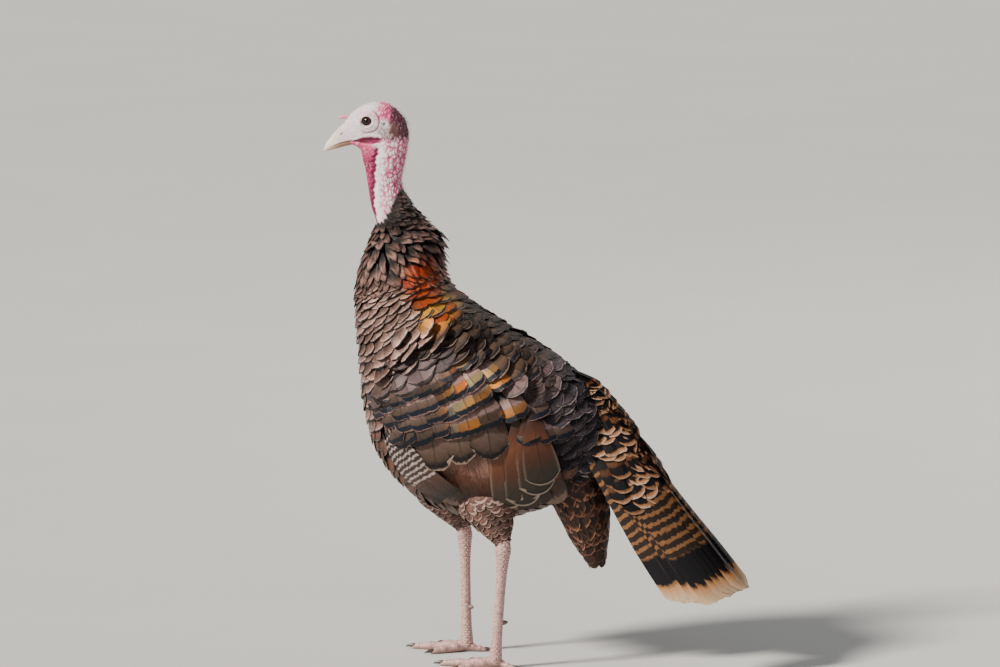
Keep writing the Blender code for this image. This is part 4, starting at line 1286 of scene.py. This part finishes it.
def covert_row(z_here, gap, seed, reach_up=1.02):
    """Tips of one row of coverts: a line square to the feathers, through z_here where x is ROW_X."""
    points = []
    for step in (-ROW_STEP, ROW_STEP):
        x, z = ROW_X, float(z_here)
        run = []
        while -200 < x < 70:
            run.append((x, z))
            fall = math.radians(float(wing_fall(np.array(x), np.array(z))))
            x, z = x + step * math.sin(fall), z + step * math.cos(fall)
        points += run[::-1] if step < 0 else run[1:]
    knots = np.arange(len(points)) * ROW_STEP
    reach = np.arange(0, len(points) * ROW_STEP, gap) + (seed % 1.0) * gap
    reach = reach[reach < knots[-1]]
    x, z = (np.interp(reach, knots, line) for line in np.array(points).T)
    row, across = locate(WING_LOWER, WING_UPPER, x, z)
    inside = (row > 0.15) & (row < 9.8) & (across > -1.02) & (across < reach_up)
    return x[inside], z[inside]


def root_of(x, z, length, fall):
    """Where a covert is rooted on the wing's side view, from its tip, length and fall in degrees."""
    back = length * ROOT_SHARE
    return x - back * np.cos(np.radians(fall)), z + back * np.sin(np.radians(fall))


def lay_on_wing(x, z, length, width, seed, fall=None, **shape):
    """Vanes whose tips are at (x, z) of the wing's side view."""
    fall = wing_fall(x, z) if fall is None else fall
    return lay(wing, *root_of(x, z, length, fall), -fall, length, width, seed=seed, **shape)


# Rows of coverts: height of the tips where x is -52, spacing, length, width.
SCAPULAR_ROWS = ((484, 15, 40, 24), (471, 16, 40, 24), (458, 17, 42, 25), (446, 18, 44, 26))
LESSER_ROWS = ((436, 26, 50, 39), (413, 27, 54, 40))
MEDIAN_ROWS = ((392, 19, 54, 29), (366, 19, 56, 30), (340, 20, 58, 31), (311, 22, 64, 34))
REAR_ROWS = ((287, 19, 62, 28),)
GREATER_ROWS = ((273, 36, 88, 47),)
# Tips (x, z), length, width, fall and lift of the single large feathers.
WRIST = ((-156, 334, 62, 36, 72, -1.5), (-157, 315, 60, 36, 74, -2.0), (-147, 296, 56, 34, 62, -2.5))
TERTIALS = ((-10, 212, 124, 36, 88, -3.6), (8, 217, 122, 40, 89, -2.4), (18, 231, 112, 42, 90, -1.0),
            (25, 246, 98, 42, 90, 0.4))


def hand_region(x, z):
    """The strip along the front lower edge where the long quills of the hand lie bare."""
    return ((x + 152) * 0.72 + (z - 300) * 0.70 < 0) & (z < 318)


def wing_tracts(table, seed, reach_up=1.02, start=-999.0, end=99.0, **shape):
    """Rows of coverts from their table, ahead of end and behind start, their tips a little astray.

    None are rooted on the bare quills of the hand or past the top of the back, and roots near the
    wing's upper and front edges are sunk under the coat there.
    """
    tracts = []
    for k, (z_here, gap, length, width) in enumerate(table):
        x, z = covert_row(z_here, gap, seed + k * 0.5, reach_up)
        stray = 0.08 * length * (hashed(np.arange(len(x)) + 1, seed + k, 9.0) - 0.5)
        x, z = x + stray * 0.6, z - stray * 1.4
        root_x, root_z = root_of(x, z, length, wing_fall(x, z))
        row, across = locate(WING_LOWER, WING_UPPER, root_x, root_z)
        stay = ~hand_region(x, z) & (body_width(x, z)[1] < 0.74) & (x > start) & (x < end)
        stay &= (body_width(root_x, root_z)[1] < 0.90) & ((row > 0.35) | (z < 392))
        tuck = np.clip(smoothstep(0.62, 1.0, across) + smoothstep(1.6, 0.3, row), 0, 1)
        sink = length * 0.12 + 9.0 * tuck
        tracts.append(lay_on_wing(x[stay], z[stay], length, width, seed + k, sink=sink[stay], rise=0.6,
                                  vary=0.7, sway=3.0, **shape))
    return tracts


def lay_single(table, seed, **shape):
    """Large feathers each given by its own row of numbers."""
    x, z, length, width, fall, lift = np.array(table, float).T
    return lay_on_wing(x, z, length, width, seed, fall=fall, base=lift, sink=2.0, rise=0.3, vary=0.2,
                       roll=2.0, sway=1.5, fringe=0.0, **shape)


AMBER_FIELD = both_sides(((BAND, (-34, 104, 352)),), (46, 70, 46), 1.0, 0.70, 0.87)
# the pinkish bands and the thin pinkish tip are painted sheen on the dark coverts
median = plume("median wing coverts",
               ((0.0, BLACK), (0.45, DARK), (0.52, SHEEN_PINK_BROWN), (0.66, SHEEN_PINK_GREY),
                (0.72, (0.085, 0.056, 0.045)), (0.86, (0.060, 0.038, 0.028)), (0.875, BLUE_BLACK),
                (0.98, BLUE_BLACK), (1.0, SHEEN_PINK_BROWN)),
               tints=AMBER_FIELD, wobble=0.03, vary=0.8, fray=0.5, metal=0.30, rough=0.34)
lesser = plume("lesser wing coverts",
               ((0.0, BLACK), (0.5, (0.035, 0.025, 0.026)), (0.8, (0.075, 0.052, 0.052)),
                (0.93, (0.085, 0.056, 0.052)), (0.96, BLACK), (1.0, DARK)),
               fray=0.9, vary=1.0, metal=0.30, rough=0.36)
greater = plume("greater wing coverts",
                ((0.0, BLACK), (0.45, (0.105, 0.060, 0.048)), (0.70, (0.082, 0.050, 0.040)),
                 (0.86, (0.046, 0.029, 0.020)), (0.93, BLACK), (0.975, DARK), (1.0, (0.17, 0.12, 0.095))),
                fray=0.7, vary=0.8, metal=0.30, rough=0.36)
# the pinkish brown before the copper is painted sheen
secondary = plume("secondaries",
                  ((0.0, DARK), (0.45, (0.23, 0.11, 0.08)), (0.60, COPPER), (0.80, (0.034, 0.013, 0.008)),
                   (0.96, UMBER), (1.0, EARTH)),
                  fray=1.3, vary=0.7, wobble=0.1, edge=(0.022, 0.010, 0.007), edge_share=0.85)
tertial = plume("tertials",
                ((0.0, DARK), (0.35, (0.13, 0.044, 0.020)), (0.62, (0.080, 0.027, 0.014)),
                 (0.80, (0.040, 0.026, 0.017)), (0.945, (0.035, 0.026, 0.018)), (0.975, BLACK),
                 (0.988, (0.28, 0.205, 0.15)), (1.0, (0.34, 0.26, 0.20))),
                edge=(0.26, 0.19, 0.14), edge_share=0.35, fray=0.5, wobble=0.0)
primary = plume("primaries",
                ((0.0, DARK), (0.5, UMBER), (0.75, (0.055, 0.028, 0.020)), (0.9, UMBER), (1.0, DARK)),
                fray=0.9, bars=((0.30, 0.24, 0.22), 15, 0.35, 0.03, 0.74), wobble=0.022, vary=0.7)


WING_SEED = {"left": 3.3, "right": 8.1}
SECONDARIES, PRIMARIES = 12, 6
QUILL = {"sink": 0.0, "rise": 0.0, "roll": 1.0, "sway": 0.6, "vary": 0.2}
ROWED = {"rows": 12, "cols": 11}
BLUNT_ROWED = {**ROWED, "blunt": 4.5, "round_tip": 0.12}


def make_wing(label):
    """One wing: quills, then the lays of coverts, built on the left and mirrored for the right."""
    seed = WING_SEED[label]

    def cover(part, tracts, finish, slot="coverts", **settings):
        """One piece of this wing from its lays of vanes."""
        placed = [mirrored(tract) for tract in tracts] if label == "right" else tracts
        feather_piece(f"wing_{label}_{part}", placed, finish, slot, **settings)

    x = np.linspace(-100, 40, SECONDARIES)
    edge = spline(WING_LOWER, np.linspace(0, 10, 200))[90:]
    z = np.interp(x, edge[:, 0], edge[:, 1])
    order = np.linspace(0, 1, SECONDARIES)
    arm = lay_on_wing(x, z + 1.5, 132 - 30 * order, 32.0, seed, fall=72 + 17 * np.sqrt(order), lean=3.0,
                      base=-7.0 + 2.0 * order, rows=14, cols=9, round_tip=0.10, blunt=2.2, waist=0.95,
                      fringe=0.008, **QUILL)
    order = np.arange(PRIMARIES)
    hand = lay_on_wing(-106 + 4.6 * order, 213 + 3.7 * order, 118.0, 16.0, seed + 2, fall=51.0, lean=2.0,
                       base=-2.6 + 0.35 * order, rows=20, cols=7, round_tip=0.06, waist=0.9,
                       bow=-13.0 + 0.8 * order, fringe=0.0, **QUILL)
    inner = lay_single(TERTIALS, seed + 4, rows=18, cols=13, round_tip=0.14, blunt=2.2, waist=1.0)
    cover("secondaries", [arm], secondary, "quills", patch=0)
    cover("primaries", [hand], primary, "quills", patch=0, replaces=(f"wing_{label}_quills",))
    cover("tertials", [inner], tertial, "quills", patch=0)
    cover("greater_coverts", wing_tracts(GREATER_ROWS, seed, end=6.0, rows=16, cols=13), greater)
    cover("wrist_coverts", [lay_single(WRIST, seed + 6, rows=16, cols=13, round_tip=0.2)], greater)
    cover("median_coverts", wing_tracts(MEDIAN_ROWS, seed, **BLUNT_ROWED)
          + wing_tracts(REAR_ROWS, seed + 5, start=0.0, **BLUNT_ROWED), median)
    cover("lesser_coverts", wing_tracts(LESSER_ROWS, seed, **ROWED), lesser,
          replaces=(f"wing_{label}_coverts",))
    cover("scapulars", wing_tracts(SCAPULAR_ROWS, seed + 9, 1.9, start=-118.0, rows=11, cols=9), mantle,
          "plumage")
    make_wing_bed(label)


def make_wing_bed(label):
    """Arm and muscle of the folded wing under its feathers: a closed shell inside the wing's outline."""
    side = SIDES[label]
    row, q = grid(np.linspace(0.5, 9.2, 50), np.linspace(-0.86, 0.86, 26))
    low, high = spline(WING_LOWER, row), spline(WING_UPPER, row)
    flat = (low + high) / 2 + (high - low) / 2 * q[..., None]
    face = wing(flat[..., 0], flat[..., 1])
    rim = np.clip(1 - np.abs(q) ** 6, 0, 1) * np.clip(1 - np.abs(row / 5 - 0.97) ** 8, 0, 1)
    outer, inner = face.copy(), face
    outer[..., 1] += 14.0 - 1.5 * rim
    inner[..., 1] += 15.0 + 4.0 * rim
    points = np.concatenate([outer.reshape(-1, 3), inner.reshape(-1, 3)]) * [1, -side, 1]
    rows, cols = q.shape
    faces = grid_faces(rows, cols)
    border = np.concatenate([np.arange(cols), np.arange(1, rows) * cols + cols - 1,
                             (rows - 1) * cols + np.arange(cols - 2, -1, -1),
                             np.arange(rows - 2, 0, -1) * cols])
    after = np.roll(border, -1)
    wall = np.stack([border, after, after + rows * cols, border + rows * cols], axis=1)
    every = np.concatenate([faces, faces[:, ::-1] + rows * cols, wall])
    every = every if side < 0 else every[:, ::-1]
    make_piece(f"wing_{label}_bed", points, [every], down_finish, slot="plumage")


def make_down():
    """Short dark down that shows between feathers."""
    f = Finish("down")
    return f.close(f.mix(f.noise(500.0, 3.0), (0.012, 0.008, 0.007), (0.05, 0.032, 0.026)), 0.8,
                   normal=f.bump(f.noise(900.0, 2.0), 0.0008, 0.7))


down_finish = make_down()
for label in SIDES:
    make_wing(label)


# ---------------- tail

rectrix = plume("tail feathers",
                ((0.0, DARK), (0.76, (0.022, 0.013, 0.010)), (0.78, BLACK), (0.91, BLACK), (0.935, BUFF),
                 (1.0, PALE)),
                bars=((0.20, 0.088, 0.034), 24, 0.35, 0.02, 0.78), fray=0.6, vary=0.35, wobble=0.012)
tail_covert = plume("tail coverts",
                    ((0.0, BLACK), (0.60, DARK), (0.64, (0.12, 0.045, 0.018)), (0.72, (0.09, 0.034, 0.014)),
                     (0.75, BLACK), (0.91, BLACK), (0.935, (0.20, 0.08, 0.03)), (0.975, (0.32, 0.165, 0.09)),
                     (1.0, (0.38, 0.26, 0.19))),
                    fray=0.9, wobble=0.03, vary=0.8, specular=0.12)
under = plume("under tail feathers",
              ((0.0, DARK), (0.6, (0.045, 0.022, 0.016)), (0.9, (0.025, 0.013, 0.010)),
               (0.95, (0.14, 0.045, 0.022)), (1.0, (0.24, 0.13, 0.08))),
              fray=0.8)


def ring_of_roots(number, k):
    """Angles of number roots round a limb, each other ring shifted by half a step."""
    return (np.arange(number) + 0.5 * (k % 2)) / number * FULL_TURN


def make_tail():
    """Eighteen tail feathers fanned over the roof, the middle pair on top, and coverts in rows."""
    half = np.linspace(0.06, 0.95, 9)
    q = np.concatenate([-half, half])
    away = np.abs(q)
    reach = 0.96 - 0.10 * away ** 2.5
    feathers = lay(tail, np.full(18, 0.04), q, 0.0, reach * TAIL_LENGTH, 33.0, 0.0, 0.0, rows=26, cols=9,
                   fringe=0.010, base=7.0 - 6.5 * away, round_tip=0.045, blunt=2.6, waist=0.85, camber=0.06,
                   roll=0.8, sway=0.3, lean=-3.0 * np.sign(q), thick=0.6, vary=0.12)
    feather_piece("tail_feathers", [feathers], rectrix, "tail", patch=0, replaces=("tail",))
    tracts = []
    for k, end in enumerate(np.linspace(0.10, 0.60, 11)):
        number = int(8 + 10 * end)
        across = np.clip((np.arange(number) + 0.5 + 0.25 * (-1) ** k) / number * 2 - 1, -0.97, 0.97)
        stop = end - 0.03 * across ** 2
        start = np.maximum(stop - (56 + 36 * end) / TAIL_LENGTH, -0.03)
        tracts.append(lay(tail_top, start, across, 0.0, (stop - start) * TAIL_LENGTH, 23 + 10 * end,
                          6.0 + 8.0 * smoothstep(0.3, 0.1, end), 0.3, rows=9, cols=7, seed=k + 20.0,
                          round_tip=0.16, blunt=2.6, waist=0.9))
    feather_piece("tail_upper_coverts", tracts, tail_covert, "tail", replaces=("tail_coverts",))
    deep, wide = (np.array([row[k] for row in UNDERTAIL]) for k in (1, 2))
    surface = tube([(x, 0.0, z) for (x, z), _, _ in UNDERTAIL], deep, wide)
    tracts = []
    for k, s in enumerate(np.linspace(0.3, 4.5, 10)):
        girth = float(np.interp(s + 0.5, np.arange(7), deep + wide))
        turn = ring_of_roots(max(6, int(girth / 4.6)), k)
        length = np.clip(0.62 * girth + 8, 18, 52)
        tracts.append(lay(surface, s + 0 * turn, turn, 0.0, length, 0.34 * girth + 3, 0.09 * length, 0.0,
                          rows=12, cols=9, seed=k + 40.0, roll=2.0, sway=3.0, vary=0.6))
    feather_piece("tail_under_coverts", tracts, under, "tail", replaces=("undertail",))


make_tail()


# ---------------- legs

thigh = plume("thigh feathers",
              ((0.0, DARK), (0.5, UMBER), (0.74, (0.15, 0.074, 0.055)), (0.90, (0.08, 0.040, 0.031)),
               (0.94, (0.34, 0.22, 0.19)), (1.0, (0.28, 0.17, 0.145))),
              fray=1.1, vary=0.9)


def leg_joints(label):
    """Hip, hock and ankle of one leg."""
    side = SIDES[label]
    return (np.array([HOCK_X[label] - HIP_BACK, side * HIP_SPREAD, HIP_Z]),
            np.array([HOCK_X[label], side * STANCE, HOCK_Z + 9.0]),
            np.array([FOOT_X[label], side * STANCE, ANKLE_Z - 10.0]))


def toe_frame(label, toe):
    """Where a toe starts on the floor, the way it points, and the way across it."""
    side = SIDES[label]
    angle = math.radians(TOES[toe][0]) * side
    ahead = np.array([-math.cos(angle), math.sin(angle), 0.0])
    set_back, set_in = (3, 2) if toe == "hind" else (0, 0)
    start = np.array([FOOT_X[label] + set_back, side * (STANCE - set_in), 0.0])
    return start, ahead, np.array([-ahead[1], ahead[0], 0.0])


def make_thigh(label):
    """Feathers of the thigh, in rings down to just above the hock."""
    hip, hock, _ = leg_joints(label)
    share, deep, wide = np.array(THIGH).T
    surface = tube(hip + (hock - hip) * share[:, None], deep, wide)
    tracts = []
    for k, s in enumerate(np.linspace(0.2, 4.6, 12)):
        turn = ring_of_roots(int(22 - 3 * s), k)
        tracts.append(lay(surface, s + 0 * turn, turn, 0.0, 26.0 - 1.6 * s, 15.0 - 1.4 * s, 3.0, 0.0,
                          rows=8, cols=7, seed=k + 60.0))
    feather_piece(f"thigh_{label}_feathers", tracts, thigh, "plumage", replaces=(f"thigh_{label}",))


SPUR_Z = 58.0
SCUTE = 5.0                          # spacing of the plates down the shank
THIGH_COAT = 5                       # depth of the thigh's feathers over its flesh
# Shank: share of the way from above the hock to the ankle, half-depth, half-width.
SWELLS = ((0.0, 8.6, 8.2), (0.06, 10.0, 9.2), (0.14, 8.4, 7.6), (0.30, 6.6, 6.0), (0.60, 6.3, 5.7),
          (0.85, 6.8, 6.4), (0.95, 8.0, 8.0), (1.0, 8.2, 8.6), (1.03, 6.5, 7.2), (1.05, 3.0, 3.5))


def leg_finish():
    """Scaly leg skin, greyish pink, darker between the plates."""
    f = Finish("scutes")
    mottle = f.range(f.noise(300.0, 4.0, rough=0.6), 0.3, 0.7)
    colour = f.mix(mottle, (0.42, 0.22, 0.20), (0.62, 0.40, 0.36))
    colour = f.mix(f.times(f.number("seam"), 0.7), colour, (0.16, 0.075, 0.07))
    colour = f.mix(f.times(f.number("sole"), 0.6), colour, (0.30, 0.20, 0.15))
    return f.close(colour, 0.42, normal=f.bump(f.noise(1500.0, 3.0), 0.0003, 0.5))


def plates(along, turn, front, spacing, pair):
    """Relief of overlapping plates down the front, and of small round scales elsewhere.

    turn is nought along the front; with pair at one the plates lie in two columns, half a plate apart.
    """
    half = np.sin(turn)
    ring = np.mod(along / spacing + 0.5 * pair * (half > 0), 1.0)
    plate = (1 - ring) ** 0.5 * smoothstep(0.0, 0.22, ring)
    plate = plate * (1 - pair + pair * smoothstep(0.0, 0.20, np.abs(half)))
    rows = along / spacing * 1.5
    shift = 0.5 * np.mod(np.floor(rows), 2)
    scale = np.abs(np.sin(math.pi * (turn * 9 / FULL_TURN + shift))) ** 0.5
    return plate * front + scale * np.sin(math.pi * np.mod(rows, 1.0)) ** 0.5 * (1 - front)


def limb_mesh(path, deep, wide, across, rows, cols, spacing, amount, ahead_turn, pair):
    """Rings of a scaly limb: the tube's surface with its plates raised along the normal; and its seams."""
    s, turn = grid(np.linspace(0, len(path) - 1, rows), circle(cols))
    here, _, _, normal = frame_of(tube(path, deep, wide, across), s, turn)
    front = smoothstep(0.1, 0.45, np.cos(turn - ahead_turn))
    relief = plates(run_along(here.mean(1))[:, None], turn - ahead_turn, front, spacing, pair)
    ends = np.clip(np.minimum(s, len(path) - 1 - s) * 4, 0, 1)
    return here + normal * (amount * (relief - 0.5) * ends)[..., None], 1 - smoothstep(0.05, 0.45, relief)


def make_leg(label):
    """Thigh under its feathers, hock, scaled shank and toes with pads, in one piece."""
    hip, hock, ankle = leg_joints(label)
    above, below = np.array(THIGH).T, np.array(SWELLS[1:]).T
    path = np.concatenate([hip + (hock - hip) * above[0][:, None],
                           hock + (ankle - hock) * below[0][:, None]])
    deep, wide = (np.concatenate([above[k] - THIGH_COAT, below[k]]) for k in (1, 2))
    knee = len(THIGH) - 1
    deep[knee - 1:knee + 1], wide[knee - 1:knee + 1] = (11.5, SWELLS[0][1]), (10.0, SWELLS[0][2])
    limbs = [(*limb_mesh(path, deep, wide, (0.0, 1.0, 0.0), 420, 60, SCUTE, 0.95, math.pi, 1.0), 0.0)]
    share = np.linspace(0, 1, 10)
    for toe, (_, length, root) in TOES.items():
        start, ahead, across = toe_frame(label, toe)
        radius = root * (1 - 0.38 * share) * (1 + 0.09 * np.cos(6 * math.pi * share))
        radius[-1] *= 0.55
        lift, pull = (5 * (1 - share) ** 2, -4.0) if toe == "hind" else (2.5 * (1 - share) ** 3, 0.0)
        path = start + ahead * (length * share + pull)[:, None] + WORLD_UP * (radius - 0.5 + lift)[:, None]
        skin, seam = limb_mesh(path, radius * 0.98, radius * 0.92, across, 130, 30, 2.6, 0.60, 0.0, 0.0)
        limbs.append((skin, seam, 1.0))
    points, quads, tris, seams, soles, base = [], [], [], [], [], 0
    for ring, seam, under_foot in limbs:
        rows, cols = seam.shape
        points += [ring.reshape(-1, 3), ring[:1].mean(1), ring[-1:].mean(1)]
        seams.append(np.append(seam, [0, 0]))
        soles.append(np.append(under_foot * smoothstep(5.0, 1.5, ring[..., 2]), [0, 0]))
        quads.append(grid_faces(rows, cols, closed=True) + base)
        tris += [fan + base for fan in end_fans(rows, cols)]
        base += rows * cols + 2
    faces = [np.concatenate(quads), np.concatenate(tris)]
    make_piece(f"leg_{label}", np.concatenate(points), faces, leg_skin, slot="scutes",
               numbers={"seam": np.concatenate(seams), "sole": np.concatenate(soles)},
               replaces=(f"shank_{label}", f"foot_{label}"))


def horn_finish(name, dark, pale):
    """Grained horn between two colours."""
    f = Finish(name)
    grain = f.noise(400.0, 3.0, stretch=(0.3, 1.0, 1.0))
    return f.close(f.mix(grain, dark, pale), 0.32, normal=f.bump(grain, 0.0002, 0.3))


def make_claws(label):
    """A curved blunt claw on each toe, and the young bird's button of a spur.

    A claw's path falls as the square of the distance along it and its radius shrinks as a power of it.
    """
    side = SIDES[label]
    share = np.linspace(0, 1, 9)
    for toe, (_, length, root) in TOES.items():
        start, ahead, across = toe_frame(label, toe)
        reach = length - (4 if toe == "hind" else 0) + 13.0 * share - 2.5
        rise = root * 0.62 + 1.6 * share - 3.4 * share ** 2
        radius = 2.7 * (1 - share ** 1.6 * 0.90)
        path = start + ahead * reach[:, None] + WORLD_UP * rise[:, None]
        rings = tube(path, radius * 1.1, radius * 0.9, across)(*grid(np.linspace(0, 8, 30), circle(20)))
        rings[..., 2] = np.maximum(rings[..., 2], 0.05)
        closed_loft(f"claw_{label}_{toe}_horn", rings, claw_horn, slot="claw",
                    replaces=(f"claw_{label}_{toe}",))
    share = np.linspace(0, 1, 7)
    x = FOOT_X[label] + (HOCK_X[label] - FOOT_X[label]) * (SPUR_Z - ANKLE_Z) / (HOCK_Z - ANKLE_Z)
    way = np.array([0.85, -0.5 * side, 0.1])
    path = np.array([x, side * STANCE, SPUR_Z]) + way * (3.5 + 10.5 * share)[:, None]
    radius = 3.4 * np.sqrt(np.clip(1 - share ** 2.2, 0.02, 1))
    rings = tube(path, radius, radius, (0.0, 0.2, 1.0))(*grid(np.linspace(0, 6, 24), circle(24)))
    closed_loft(f"spur_{label}_horn", rings, spur_horn, slot="claw", replaces=(f"spur_{label}",))


leg_skin = leg_finish()
claw_horn = horn_finish("claw horn", (0.035, 0.025, 0.022), (0.12, 0.085, 0.07))
spur_horn = horn_finish("spur horn", (0.10, 0.06, 0.05), (0.24, 0.16, 0.13))
for label in SIDES:
    make_thigh(label)
    make_leg(label)
    make_claws(label)
